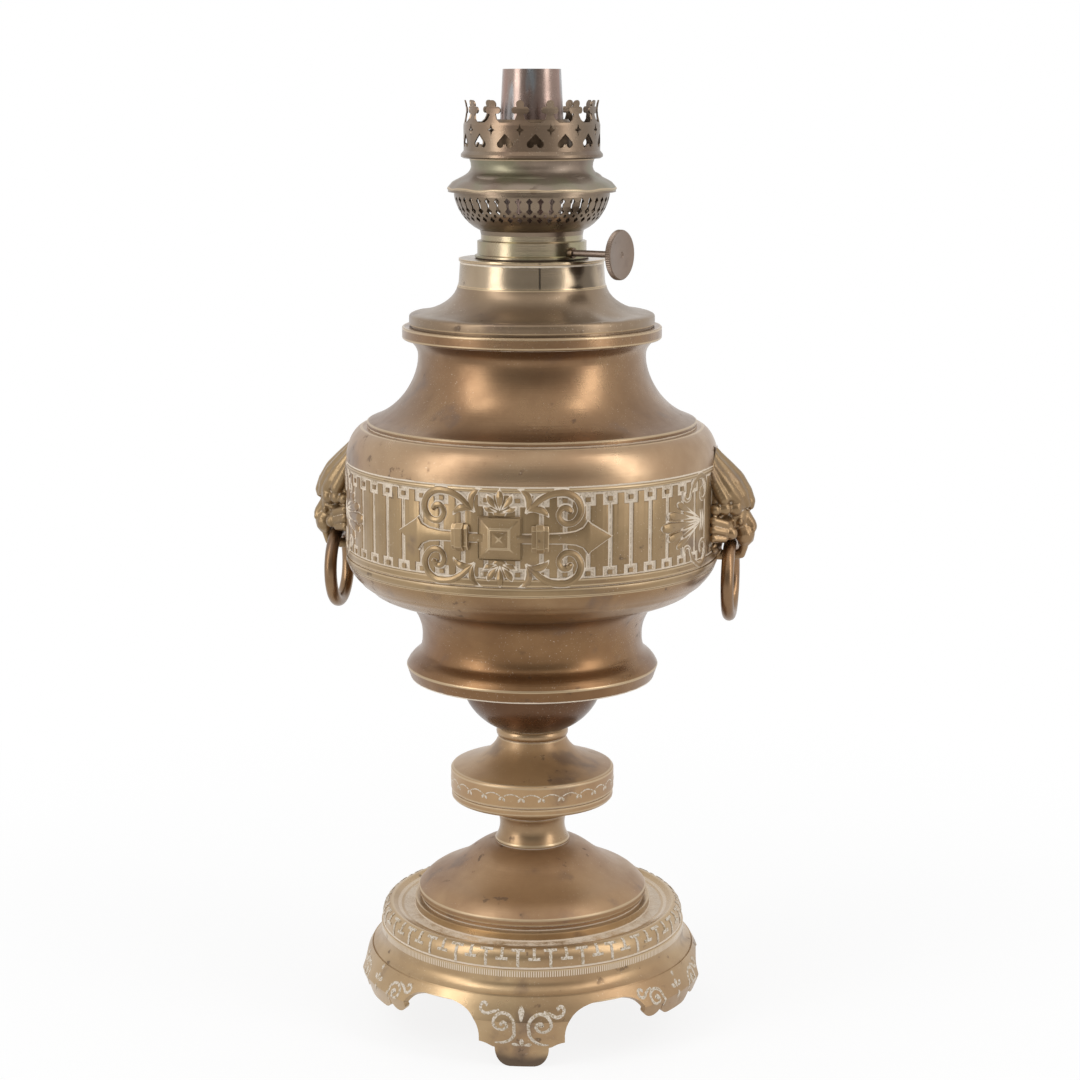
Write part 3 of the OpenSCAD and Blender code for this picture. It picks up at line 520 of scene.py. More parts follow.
# The plinth's lower lip is tucked in behind the apron, and the flat ring round the dome is full of residue.
LIP_R, LIP_TUCK = 65, 0.5
FLAT_IN, FLAT_OUT, FLAT_LOW = 49, 54.5, 42
foot_outline = eased(section_of("base_foot", FOOT_TURN - 90), corner=50)[0]


def apron_radius(height):
    """Outer radius of the apron at a height."""
    spans = zip(foot_outline, foot_outline[1:] + foot_outline[:1])
    return max(a.x + (b.x - a.x) * (height - a.y) / (b.y - a.y)
               for a, b in spans if (a.y - height) * (b.y - height) < 0)


plinth_points, plinth_hollow = eased(section_of("base_foot"))
for k, point in enumerate(plinth_points):
    radius, height = point / MM
    if radius > LIP_R and height < PLINTH + 0.1:
        point.x -= LIP_TUCK * MM
    if FLAT_IN < radius < FLAT_OUT and height > FLAT_LOW:
        plinth_hollow[k] = 0.6
print("apron radius at 5, 20 and 28 mm:", [round(apron_radius(z * MM) / MM, 2) for z in (5, 20, 28)])


# %% Apron with its feet
GRID_ACROSS, GRID_UP, GRID_SNAP = 1.6 * MM, 1.55 * MM, 0.12 * MM
COLUMNS, ROWS = 23, 18
LOWEST, HIGHEST = 0.35 * MM, 28.9 * MM
SIXTH_EDGE = math.radians(30)


def bow(p, a, b, q, count):
    """Points on a cubic curve from p to q with handles a and b."""
    p, a, b, q = (Vector(v) for v in (p, a, b, q))
    steps = [k / count for k in range(count + 1)]
    return [(1 - t) ** 3 * p + 3 * (1 - t) ** 2 * t * a + 3 * (1 - t) * t * t * b + t ** 3 * q for t in steps]


def foot_pattern(toe, low, notch, ear, dip):
    """Right-hand edge of a foot or pendant, from its toe to the top of the arch, in millimetres."""
    (notch_x, notch_z), (ear_x, ear_z) = notch, ear
    climb = ARCH - ear_z
    side = bow((toe, low), ((toe + notch_x * 2) / 3, low + (notch_z - low) * 0.04),
               (notch_x, (low + notch_z) / 2), notch, 8)
    lobe = bow((notch_x + 0.4, notch_z + 0.2), (notch_x + 1.2, notch_z - dip),
               (ear_x - 3.5, ear_z - dip - 0.3), ear, 10)
    arch = bow((ear_x, ear_z + climb * 0.2), (ear_x + 1, ear_z + climb * 0.85), (ear_x + 7, ARCH),
               (HALF_SIXTH, ARCH), 14)
    return side + lobe + arch


def bent_apron(edge, degrees):
    """One sixth of the apron, cut flat, sliced and bent on to the profile, as a bmesh."""
    flat = bmesh.new()
    outline = edge + [Vector((HALF_SIXTH, PLINTH))]
    outline += [Vector((-p.x, p.y)) for p in reversed(outline)]
    flat.faces.new([flat.verts.new((p.x * MM, 0, p.y * MM)) for p in outline])
    for k in range(-COLUMNS, COLUMNS + 1):
        sliced(flat, (k * GRID_ACROSS, 0, 0), (1, 0, 0), GRID_SNAP)
    for k in range(1, ROWS + 1):
        sliced(flat, (0, 0, k * GRID_UP), (0, 0, 1), GRID_SNAP)
    for vert in flat.verts:
        radius = apron_radius(min(max(vert.co.z, LOWEST), HIGHEST))
        vert.co.y = -math.sqrt(radius ** 2 - vert.co.x ** 2)
    for side in (-1, 1):
        edge_on = Vector((side * math.cos(SIXTH_EDGE), math.sin(SIXTH_EDGE), 0))
        sliced(flat, (0, 0, 0), edge_on, 1e-6, clear=True)
    bmesh.ops.rotate(flat, verts=flat.verts, cent=(0, 0, 0), matrix=turned(degrees))
    return flat


def six_times(make, foot, pendant):
    """What make gives for one drawing at the three feet and for another at the pendants between them."""
    return [make(drawing, FOOT_TURN + first + third)
            for drawing, first in ((foot, 0), (pendant, 60)) for third in (0, 120, 240)]


def joined(solids):
    """One bmesh from several."""
    whole = bmesh.new()
    hollow_of(whole)
    for solid in solids:
        scratch = mesh_of("scratch", solid)
        whole.from_mesh(scratch)
        bpy.data.meshes.remove(scratch)
    return whole


foot_edge = foot_pattern(5, 0, (10.71, 8.246), (17, 10.374), 0)
pendant_edge = foot_pattern(5.5, 13.2, (10.71, 18.088), (21.08, 17.556), 4)
apron = welded(joined(six_times(bent_apron, foot_edge, pendant_edge)), 0.02 * MM)
outer = next(iter(apron.faces))
if outer.normal.dot(outer.calc_center_median().to_2d().to_3d()) < 0:
    bmesh.ops.reverse_faces(apron, faces=apron.faces)
bmesh.ops.solidify(apron, geom=apron.faces, thickness=APRON_WALL * MM)
print("apron:", len(apron.faces), "faces")

# %% Finish of the base
RIBS = 420


def axes_of(where):
    """The X, Y and Z of a place, in metres."""
    return [where.node("ShaderNodeSeparateXYZ", None, {"Vector": where}, axis) for axis in "XYZ"]


def between(value, low, high):
    """1 from low to high, with soft ends, in millimetres."""
    return rise(value, low * MM, (low + 0.3) * MM) * (1 - rise(value, high * MM, (high + 0.3) * MM))


def knurl(where, colour):
    """Fine upright ribs on the plinth, a dotted line inside the patterned ring, and dark toes."""
    x, y, z = axes_of(where)
    reach = (x * x + y * y).math("SQRT")
    ribs = rise((y.math("ARCTAN2", x) * RIBS).math("SINE"), -0.2, 0.5)
    band = between(z, 35.6, 38.4) * rise(reach, 62 * MM, 62.4 * MM)
    dots = between(reach, 54.5, 55.9) * rise(z, 44 * MM, 44.2 * MM)
    toes = 1 - rise(z + noise(where, 90, 3) * 0.006, 5 * MM, 10.5 * MM)
    colour = blend(toes * 0.85, colour, (0.06, 0.04, 0.03))
    return blend((band + dots) * ribs, colour, RESIDUE)


base_brass = brass("base_brass", (0.46, 0.32, 0.175), (0.33, 0.215, 0.11), 0.3, 0.0, dull=0.2, extra=knurl)
place("base_cast", joined([spun(plinth_points, plinth_hollow), apron]), base_brass, "base_foot")

# %% [markdown]
# ## Bars of ornament
# Scrolls, leaves and engraved lines are all bars of changing thickness that lie on a curved wall. A bar could
# be skinned by hand, but a Bezier curve with a round bevel and a radius at each point draws it directly. The
# curves are drawn flat, as a chaser would on paper, made a mesh, and wrapped on to the wall.

# %% Bars drawn flat and wrapped on a wall
FADE = 0.4


def bars(paths, wrap, squat=0.7, fat=1.0, ground=0.0, sides=2, fine=5):
    """A bmesh of bars on a wall: each path is a list of (across, up, radius) in millimetres. ground is the
    height that shows as the foot of a bar, where residue gathers."""
    curve = bpy.data.curves.new("bars", "CURVE")
    curve.dimensions, curve.bevel_depth, curve.bevel_resolution = "3D", 1.0, sides
    curve.resolution_u, curve.use_fill_caps = fine, True
    for path in paths:
        spline = curve.splines.new("BEZIER")
        spline.bezier_points.add(len(path) - 1)
        for point, (across, up, radius) in zip(spline.bezier_points, path):
            point.co, point.radius = (across, up, 0), radius * fat
            point.handle_left_type = point.handle_right_type = "AUTO"
    drawn = bpy.data.objects.new("bars", curve)
    solid = welded(solid_from(drawn), 1e-4)
    bpy.data.objects.remove(drawn)
    bpy.data.curves.remove(curve)
    layer = hollow_of(solid)
    for vert in solid.verts:
        height = vert.co.z * squat
        vert[layer] = min(1.0, max(0.0, 1.2 - (height - ground) / FADE))
        vert.co = wrap(vert.co.x, vert.co.y, height)
    return solid


def mirrored(paths, across=True, up=False):
    """The paths with their mirror images across, up, or both."""
    whole = list(paths)
    if across:
        whole += [[(-u, v, r) for u, v, r in path] for path in whole]
    if up:
        whole += [[(u, -v, r) for u, v, r in path] for path in whole]
    return whole


def spiral(centre, size, start, turns, width, side, tail):
    """A line that follows its tail and winds into a dot at its centre."""
    path = list(tail)
    count = int(10 * turns)
    for k in range(count):
        t = k / count
        angle = math.radians(start) + side * FULL_TURN * turns * t
        reach = size * (1 - t) ** 0.8
        path.append((centre[0] + reach * math.cos(angle), centre[1] + reach * math.sin(angle), width))
    return path + [(centre[0], centre[1], width * 1.7), (centre[0] + 0.2, centre[1], width * 0.5)]


def leaf(start, end, width, bend=0.0):
    """A leaf or drop between two points, widest past its middle."""
    start, end = Vector(start), Vector(end)
    side = Vector((-(end - start).y, (end - start).x)) * bend
    shape = ((0.0, 0.25), (0.3, 0.7), (0.62, 1.0), (0.85, 0.65), (1.0, 0.12))
    return [(*(start.lerp(end, t) + side * 4 * t * (1 - t)), width * w) for t, w in shape]


def ornament(name, solids, material):
    """A piece of several solids that lies on the stand."""
    place(name, joined(solids), material, body="stand", slot="aged_brass")


print("bars, spirals and leaves ready")

# %% [markdown]
# ## Engraving on the base
# The feet and pendants carry engraved scrolls, drops and leaves that are filled with white residue, and the
# ring above them a row of T shapes, upright and inverted by turns. A painted mask could show them, but they
# would blur close by. So the lines are bars of residue pressed nearly flat.

# %% Residue
residue, tree = finish("white_residue")
crumbs = noise(spot_of(tree), 1400, 3)
shade = blend(rise(crumbs, 0.42, 0.62), (0.66, 0.59, 0.5), (0.4, 0.31, 0.2))
surface(tree, {"Base Color": shade, "Roughness": 0.75, "Metallic": rise(crumbs, 0.5, 0.7) * 0.4,
               "Normal": bump(0.4, 0.2 * MM, crumbs)})
print("residue:", len(residue.node_tree.nodes), "nodes")

# %% Engraved scrolls
PRESSED = 0.22


def engraved(lines, degrees):
    """Flat bars on the apron, facing a direction: each line is drawn across and up from the floor."""
    def wrap(u, v, h):
        radius = apron_radius(v * MM) + h * MM
        return turned(degrees) @ Vector((u * MM, -math.sqrt(radius ** 2 - (u * MM) ** 2), v * MM))
    return bars(lines, wrap, PRESSED, sides=1)


foot_lines = [
    leaf((0, 20.6), (0, 26.2), 1.25),
    spiral((-7.6, 19.2), 5.0, -20, 1.45, 0.62, 1, [(-10.6, 10.4, 0.3), (-6.6, 10.9, 0.6), (-3.2, 13.6, 0.7)]),
    spiral((8.0, 18.6), 5.4, 200, 1.5, 0.66, -1, [(10.6, 9.6, 0.3), (7.0, 10.2, 0.6), (3.6, 13.2, 0.7)]),
    [(-8.8, 24.4, 0.4), (-11.4, 23.6, 0.6), (-14.4, 22.9, 0.6), (-16.2, 24.6, 0.55), (-15.0, 26.6, 0.55),
     (-13.4, 25.8, 0.7)],
    [(8.8, 24.0, 0.4), (11.4, 23.0, 0.6), (14.4, 21.9, 0.65), (16.6, 23.6, 0.6), (15.6, 25.6, 0.6),
     (13.9, 24.6, 0.75)],
    leaf((0, 9.2), (0, 12.6), 1.0), leaf((-0.8, 9.6), (-4.0, 10.2), 0.8), leaf((0.8, 9.6), (4.0, 10.0), 0.8),
]
pendant_lines = [leaf((0, 26.6), (0, 28.6), 0.9), leaf((0, 22.4), (0, 25.4), 1.0),
                 leaf((-0.9, 22.6), (-3.4, 24.0), 0.9), leaf((0.9, 22.6), (3.4, 24.0), 0.9),
                 leaf((0, 21.2), (0, 17.6), 0.95)]
pendant_lines += mirrored([
    spiral((14.2, 22.0), 4.0, 190, 1.4, 0.6, -1, [(10.2, 17.6, 0.3), (9.6, 19.8, 0.55)]),
    [(15.4, 26.2, 0.4), (18.2, 25.2, 0.55), (20.6, 23.6, 0.6), (22.2, 25.0, 0.55), (21.2, 26.8, 0.55),
     (19.8, 26.0, 0.6)]])
ornament("base_engraving", six_times(engraved, foot_lines, pendant_lines), residue)

# %% Row of T shapes on the plinth
TEES, TEE_TOP = 30, 0.25
# The outline of the patterned ring, from its inner edge across the top and down its slope.
ring_path = [p for p in plinth_points
             if 54.2 * MM < p.x < 63.2 * MM and p.y > (44.5 if p.x < 61 * MM else 38.4) * MM]
ring_path.sort(key=lambda p: p.x + (46.7 * MM - p.y) * (p.x > 58.4 * MM))
ring_marks = marks_of(ring_path)
ring_span = ring_marks[-1] / MM


def on_plinth(degrees):
    """Wraps (across, along the slope from the inner edge, out) millimetres on the ring of the plinth."""
    def wrap(u, v, h):
        point, ahead = (along_path(ring_path, ring_marks, v * MM + step) for step in (0, 0.3 * MM))
        slope = (ahead - point).normalized()
        point = point + Vector((-slope.y, slope.x)) * h * MM
        return polar(point.x, math.radians(degrees) + u * MM / point.x, point.y)
    return wrap


def bevelled(solid, edges, width, segments=2):
    """Rounds edges of a bmesh."""
    bmesh.ops.bevel(solid, geom=edges, offset=width, segments=segments, profile=0.5, affect="EDGES",
                    material=-1)


def slabs(boxes, wrap, cuts):
    """A bmesh of low bevelled blocks, each (across, up, half width, half height, top), wrapped on a wall."""
    solid = bmesh.new()
    for across, up, half_w, half_h, top in boxes:
        size = Matrix.Diagonal((2 * half_w, 2 * half_h, top + 0.3, 1))
        bmesh.ops.create_cube(solid, size=1, matrix=Matrix.Translation((across, up, top / 2 - 0.15)) @ size)
    bevelled(solid, [e for e in solid.edges if all(v.co.z > 0 for v in e.verts)], 0.12, 1)
    if cuts:
        long = [e for e in solid.edges if e.calc_length() > 1.6]
        bmesh.ops.subdivide_edges(solid, edges=long, cuts=cuts, use_grid_fill=True)
    layer = hollow_of(solid)
    for vert in solid.verts:
        vert[layer] = float(vert.co.z < 0.08)
        vert.co = wrap(*vert.co)
    return solid


upright = [(0, ring_span * 0.43, 2.6, 0.6, TEE_TOP), (0, ring_span * 0.66, 0.6, ring_span * 0.23, TEE_TOP)]
inverted = [(0, ring_span * 0.67, 2.4, 0.6, TEE_TOP), (0, ring_span * 0.52, 0.6, ring_span * 0.16, TEE_TOP)]
ornament("base_tee_row", [slabs(tee, on_plinth(k * 360 / TEES + first), 5)
                          for tee, first in ((upright, -1.3), (inverted, 4.7)) for k in range(TEES)], residue)

# %% [markdown]
# ## The band of the knop
# The knop is turned already. Its band carries an engraved garland of small arches with two drops where they
# meet. Cutting the lines would spoil the smooth shell, so they too are flat bars of residue, on a cylinder.

# %% Garland of the knop
ARCHES, KNOP_BAND = 26, 100.2
knop_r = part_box("stem_knop")[1].x / MM


def on_drum(radius, level, degrees):
    """Wraps (across, up, out) millimetres on a cylinder, about a level and a direction."""
    def wrap(u, v, h):
        return polar((radius + h) * MM, math.radians(degrees) + u / radius, (level + v) * MM)
    return wrap


garland = []
width = FULL_TURN * knop_r / ARCHES
for k in range(ARCHES):
    left = (k - ARCHES / 2) * width
    garland.append([(left + width * t, 1.5 * math.sin(math.pi * t) - 0.6, 0.26)
                    for t in (0.1, 0.25, 0.5, 0.75, 0.9)])
    garland += [leaf((left + side * 0.2, -0.3), (left + side * 1.3, -2.2), 0.6) for side in (-1, 1)]
garland_bars = bars(garland, on_drum(knop_r - 0.02, KNOP_BAND, -87.6), 0.3, sides=1)
ornament("stem_knop_garland", [garland_bars], residue)

# %% [markdown]
# ## The frieze
# The band round the belly is cast: a stippled ground full of residue, raised panels with I-shaped channels
# between them, a cartouche with a square boss at the front and the back, and palmettes beside the lions. The
# plain band is spun from its CAD outline away from the cartouche, then every relief is laid on as its own
# form, which is easier to change than one displaced wall.

# %% Frieze ground
BELLY, MID = 74.4, 213.7
GROUND_MID, GROUND_HALF = 214.3, 16.35
band_points, band_hollow = eased(section_of("frieze_band", 45))
for k, point in enumerate(band_points):
    if abs(point.y / MM - GROUND_MID) < GROUND_HALF and point.x > 74 * MM:
        band_hollow[k] = 0.6
place("frieze_ground", spun(band_points, band_hollow), cast_brass, "frieze_band")


# %% Panels and studs
def cut_plate(outline, low, high, bevel, skirt=0.0, foot=0.0):
    """A flat-topped plate from a closed outline in millimetres; a skirt leaves a flat rim round its foot."""
    solid = bmesh.new()
    face = solid.faces.new([solid.verts.new((u, v, low)) for u, v in outline])
    top = bmesh.ops.extrude_face_region(solid, geom=[face])["geom"]
    lift = (0, 0, (foot if skirt else high) - low)
    bmesh.ops.translate(solid, verts=[g for g in top if isinstance(g, bmesh.types.BMVert)], vec=lift)
    face = max(solid.faces, key=lambda f: f.calc_center_median().z)
    if skirt:
        for inset, up in ((skirt, 0.0), (0.15, high - foot)):
            bmesh.ops.inset_region(solid, faces=[face], thickness=inset, depth=0, use_even_offset=True)
            bmesh.ops.translate(solid, verts=face.verts, vec=(0, 0, up))
    bevelled(solid, face.edges[:], bevel)
    bmesh.ops.recalc_face_normals(solid, faces=solid.faces)
    return solid


def wrapped(solid, wrap, slices=2.0, foot=0.35, dirt=1.0):
    """Slices a flat piece across and lays it on a wall, with residue at its foot."""
    span = [v.co.x for v in solid.verts]
    layer = hollow_of(solid)
    for vert in solid.verts:
        vert[layer] = dirt if vert.co.z < foot + 0.1 else vert[layer]
    cut = math.ceil(min(span) / slices) * slices
    while cut < max(span):
        sliced(solid, (cut, 0, 0), (1, 0, 0), 1e-4)
        cut += slices
    for vert in solid.verts:
        vert.co = wrap(*vert.co)
    return solid


def panel(width, wrap):
    """One raised panel with notched ends."""
    wide, narrow, notch, low, high = width / 2 - 0.35, width / 2 - 2.45, 12.3, -15.8, 16.6
    right = [(narrow, low), (narrow, -notch), (wide, -notch), (wide, notch), (narrow, notch), (narrow, high)]
    outline = right + [(-u, v) for u, v in reversed(right)]
    return wrapped(cut_plate(outline, -0.3, 0.55, 0.1, 0.5, 0.05), wrap, 1.2, 0.05)


# Directions of the channels in degrees from the front, left and right of the cartouche's middle.
channels = [-24.15 - 6.9 * k for k in range(9, -4, -1)] + [33.23 + 6.85 * k for k in range(-4, 9)]
studs = [(0, side * 14.1, 0.95, 0.85, 0.5) for side in (-1, 1)]
relief = []
for front in (-90, 90):
    for left, right in zip(channels, channels[1:]):
        middle = front + (left + right) / 2
        relief.append(panel(math.radians(right - left) * BELLY, on_drum(BELLY, MID, middle)))
    relief += [slabs(studs, on_drum(BELLY, MID, front + channel), 0) for channel in channels]
ornament("frieze_panels", relief, cast_brass)

# %% [markdown]
# ## The cartouche
# A square boss with a bevelled face sits between two strapped bands on a double spear, with four C-scrolls,
# crescent leaves at the corners and a small palmette above and below. Boss, bands and spear are flat-sided,
# so they are cut out and bevelled; the rest are bars, each over a flatter and wider bar of residue.

# %% Cartouche
ALL_RESIDUE = 3.0


def worn_and_highlit_edges(solid, least, rim=0.35):
    """Marks the edges of a block as worn and painted with a highlight: its faces above a size keep a plain
    middle inside a rim.
    """
    layer = hollow_of(solid)
    flats = [f for f in solid.faces if f.calc_area() > least]
    bmesh.ops.inset_individual(solid, faces=flats, thickness=rim, use_even_offset=True)
    plain_verts = {v for f in flats for v in f.verts}
    for vert in solid.verts:
        vert[layer] = 0.0 if vert in plain_verts else -0.9
    return solid


def frustum(half_low, half_high, low, high):
    """A four-sided block that tapers."""
    solid = bmesh.new()
    shape = Matrix.Translation((0, 0, (low + high) / 2)) @ Matrix.Rotation(math.pi / 4, 4, "Z")
    bmesh.ops.create_cone(solid, cap_ends=True, segments=4, radius1=half_low * math.sqrt(2),
                          radius2=half_high * math.sqrt(2), depth=high - low, matrix=shape)
    bevelled(solid, [e for e in solid.edges if any(v.co.z > low + 1e-4 for v in e.verts)], 0.16)
    return worn_and_highlit_edges(solid, 2.0)


def buckle(middle, half, tall, out):
    """A strap over the spear: its side view is cut out, stood up and centred at a place across."""
    upper = [(tall * 0.66, out), (tall, out * 0.5), (tall, -0.3)]
    side = [(-v, h) for v, h in reversed(upper)] + upper
    solid = worn_and_highlit_edges(cut_plate(side, -half, half, 0.3), 1.5)
    for vert in solid.verts:
        v, h, u = vert.co
        vert.co = (middle + u, v, h)
    return solid


spear = [(16.5, 2.1), (24, 2.3), (28.5, 2.9), (31.2, 4.1), (33.2, 6.9), (34.6, 5.5), (36.6, 4.2), (39, 2.7),
         (43.4, 0)]
spear_outline = [(-u, v) for u, v in reversed(spear)] + [(-9, 2.0), (9, 2.0)] + spear
spear_outline += [(u, -v) for u, v in reversed(spear_outline[1:-1])]
scroll = [(9.8, 9.6, 0.5), (12.2, 12.0, 1.0), (16.2, 15.4, 1.15), (21.4, 17.2, 1.25), (26.6, 16.6, 1.3),
          (30.2, 12.6, 1.3), (29.8, 8.2, 1.25), (26.0, 5.5, 1.15), (22.6, 7.2, 1.05), (22.5, 10.4, 1.0),
          (24.8, 11.6, 1.1), (25.9, 10.2, 1.5), (25.4, 9.5, 0.4)]
crescent = [(9.8, 9.6, 0.3), (12.0, 10.9, 0.9), (15.0, 11.0, 1.35), (17.3, 9.6, 0.9), (18.6, 7.6, 0.2)]
horn = [(9.6, 9.6, 0.4), (10.7, 12.2, 0.9), (10.9, 15.0, 1.2), (9.5, 17.4, 1.0), (6.6, 18.6, 0.25)]
fan = [leaf((0.6, 10.2), (6.6, 12.2), 0.95, -0.1), leaf((0.5, 10.6), (4.9, 17.0), 1.15, -0.06)]
stalk = [leaf((0, 10.4), (0, 19.0), 1.35),
         [(-2.6, 10.2, 0.5), (-1.2, 9.0, 0.9), (1.2, 9.0, 0.9), (2.6, 10.2, 0.5)]]
cartouche_bars = mirrored([scroll, crescent, horn] + fan, True, True) + mirrored(stalk, False, True)


def cartouche(wrap):
    """The boss, straps, spear, residue and bars of one cartouche. The boss is a pile of tapering blocks."""
    blocks = [(8.4, 8.2, -0.3, 1.2), (7.3, 3.9, 1.1, 2.4), (3.8, 3.5, 2.3, 2.7), (2.9, 0.3, 2.6, 3.15)]
    solids = [wrapped(frustum(*block), wrap, 4.0, block[2], 0.3 if block[2] > 0 else 1.0) for block in blocks]
    solids += [wrapped(buckle(middle, *strap), wrap)
               for middle in (-15.1, 15.1) for strap in ((3.2, 4.9, 2.5), (1.5, 5.4, 3.5))]
    solids.append(wrapped(cut_plate(spear_outline, -0.3, 1.5, 0.2, 0.4, 0.4), wrap, 2.0, 0.4))
    film = bars(cartouche_bars, wrap, 0.32, 1.55, ALL_RESIDUE)
    return solids + [film, bars(cartouche_bars, wrap, 0.95, 1.2, 0.4, fine=6)]


ornament("frieze_cartouches", [solid for front in (-89.3, 90.7)
                               for solid in cartouche(on_drum(BELLY + 0.2, MID - 0.2, front))], cast_brass)

# %% Palmettes beside the lions
DEGREE = math.radians(1) * BELLY


def club(start, end, width):
    """A leaf on a thin stalk, widest near its tip."""
    shape = ((0.0, 0.3), (0.35, 0.42), (0.62, 0.72), (0.83, 1.0), (0.94, 0.72), (1.0, 0.12))
    return [(*Vector(start).lerp(Vector(end), t), width * w) for t, w in shape]


tie = [[(u, -4.2, 0.5), (u - 0.7, 0, 0.85), (u, 4.2, 0.5)] for u in (23.2, 25.0)]
side_leaves = [club((25.5, 0.7), (36.6 * DEGREE, 4.9), 1.8), club((26.0, 1.3), (32.6 * DEGREE, 8.9), 1.6)]
curl = [(28.4, 12.6, 0.6), (28.3, 9.8, 1.0), (26.2, 9.4, 0.9), (24.9, 12.6, 1.0), (22.2, 16.2, 1.15),
        (18.0, 17.4, 1.2), (15.4, 13.4, 1.15), (16.0, 9.2, 1.1), (18.6, 8.4, 1.0), (19.4, 10.8, 1.0),
        (18.2, 12.2, 1.35), (17.8, 11.8, 0.4)]
side_leaves.append([(degrees * DEGREE, v, r) for degrees, v, r in curl])
middle_leaf = club((25.0, 0.0), (39.4 * DEGREE, 0.0), 2.3)
side_bars = mirrored([middle_leaf] + tie + mirrored(side_leaves, False, True))
relief = []
for lion in (0, 180):
    wrap = on_drum(BELLY + 0.2, MID, lion)
    relief += [bars(side_bars, wrap, 0.25, 1.3, ALL_RESIDUE), bars(side_bars, wrap, 0.7, 1.1, 0.35)]
ornament("frieze_palmettes", relief, cast_brass)

# %% [markdown]
# ## The lion masks
# The two masks are cast in one piece and bolted on: a mane of long locks that sweeps down from the shoulder,
# a tuft over the brow, round cheeks and muzzle, and a jaw that closes under the ring. Sculpting by hand can't
# be repeated, so the head is piled up from balls and tapering locks, fused by a voxel remesh, and smoothed.
# Every point is then moved out of the way of the swinging ring.

# %% Lion's head
RING_R, WIRE, CLEAR, PIVOT_OUT, PIVOT_Z = 14.5, 2.55, 0.4, 6.4, 200.2
SWING_LOW, SWING_HIGH = math.radians(-12), math.radians(100)
NOSE, NOSE_SHARE, SINK, VOXEL = 10.0, 0.84, 0.6, 0.42


def ball(solid, out, side, up, size, stretch=(1, 1, 1)):
    """A ball of the mask, mirrored to the other side of the face when it isn't in the middle."""
    for across in {side, -side}:
        shape = Matrix.Translation((out, across, up)) @ Matrix.Diagonal((*[size * s for s in stretch], 1))
        bmesh.ops.create_icosphere(solid, subdivisions=2, radius=1, matrix=shape)


def lock(solid, points, beads=5):
    """A tapering lock of the mane as a string of balls, each point (out, side, up, radius)."""
    for a, b in zip(points, points[1:]):
        for k in range(beads):
            ball(solid, *[p + (q - p) * k / beads for p, q in zip(a, b)])
    ball(solid, *points[-1])


mane = [
    [(-1.2, 0, 38.6, 1.2), (0.8, 0, 34.8, 2.4), (4.6, 0, 30, 3.4), (8.4, 0, 25.6, 3.9), (12, 0, 20.8, 3.7),
     (14.4, 0, 17.2, 2.8), (15, 0, 15.4, 1.7)],
    [(-1.2, 3.4, 37.4, 1.2), (0.6, 4.0, 33.6, 2.3), (4.2, 4.5, 28.8, 3.2), (7.6, 4.6, 24.4, 3.6),
     (10.8, 3.8, 20.2, 3.2), (13.2, 2.6, 16.6, 2)],
    [(-1.2, 6.6, 35, 1.2), (0.2, 7.6, 31.2, 2.2), (3.2, 8.2, 26.8, 3.0), (6.2, 7.8, 22.4, 3.1),
     (9.2, 6.2, 18.8, 2.7), (11.4, 4.6, 16, 1.6)],
    [(-1.0, 9.8, 30.5, 1.3), (0.8, 10.8, 26, 2.3), (4.2, 10.4, 19.6, 2.7)],
    [(-1.4, 1.7, 38, 1), (0.5, 2, 34.2, 2.2), (4.2, 2.2, 29.4, 3.1), (7.8, 2.3, 25, 3.5),
     (11.2, 1.9, 20.5, 3.2), (13.6, 1.3, 16.9, 2.1)],
    [(-1.4, 5, 36.2, 1), (0.2, 5.8, 32.4, 2.1), (3.5, 6.3, 27.8, 2.9), (6.7, 6.2, 23.4, 3.1),
     (9.8, 5, 19.5, 2.7), (12.1, 3.6, 16.3, 1.6)],
    [(-1.3, 8.3, 32.8, 1.1), (0.3, 9.2, 28.6, 2.1), (3.5, 9.3, 23.2, 2.6), (5.4, 8.6, 20.2, 2.6)],
]
whiskers = [[(0.5, 12.4, 11, 1.9), (5, 9.6, 9.4, 1.9)], [(0.5, 12.6, 7.4, 1.9), (4.6, 9.8, 6.2, 1.8)],
            [(0.5, 12.2, 3.8, 1.8), (4.4, 9.4, 3.2, 1.6)]]
bridge = [(11.5, 0, 11.5, 3.6), (15.2, 0, 8, 2.6)]
jaw = [(0.6, 0, -4.9, 2.2), (6, 0, -5.1, 2.1), (10.8, 0, -4.2, 2), (12, 0, -1, 2.1), (12.2, 0, 3.6, 2.4)]
balls = [(0.6, 0, 18, 10, (0.7, 1.1, 1.3)), (8, 0, 11, 6.4), (8.6, 6.4, 15.4, 3.3), (4.4, 9.2, 15.6, 3),
         (1, 11.4, 15.2, 2.4), (10.6, 5.3, 9.8, 1.6), (7, 7.6, 5.3, 2.9), (12, 0, 3.9, 5.3),
         (15.6, 0, 7, 2.6), (16.4, 1.8, 5.9, 1.3), (4, 6.5, 8, 4.4), (0, 0, -0.5, 5, (0.62, 1.9, 0.9))]


def lion_head():
    """The mask of the +X side as one fused bmesh, in millimetres from the wall and the ring's pivot."""
    pile = bmesh.new()
    for points in mane + whiskers + [bridge, jaw]:
        lock(pile, points)
    for given in balls:
        ball(pile, *given)
    lump = mesh_of("lump", pile)
    clay = put("clay", lump)
    fuse = clay.modifiers.new("fuse", "REMESH")
    fuse.mode, fuse.voxel_size = "VOXEL", VOXEL
    bpy.context.view_layer.update()
    head = solid_from(clay.evaluated_get(bpy.context.evaluated_depsgraph_get()))
    bpy.data.objects.remove(clay)
    bpy.data.meshes.remove(lump)
    bmesh.ops.smooth_vert(head, verts=head.verts, factor=0.5, use_axis_x=True, use_axis_y=True,
                          use_axis_z=True)
    return head


print("head:", len(mane), "locks in half a mane,", len(balls), "balls")


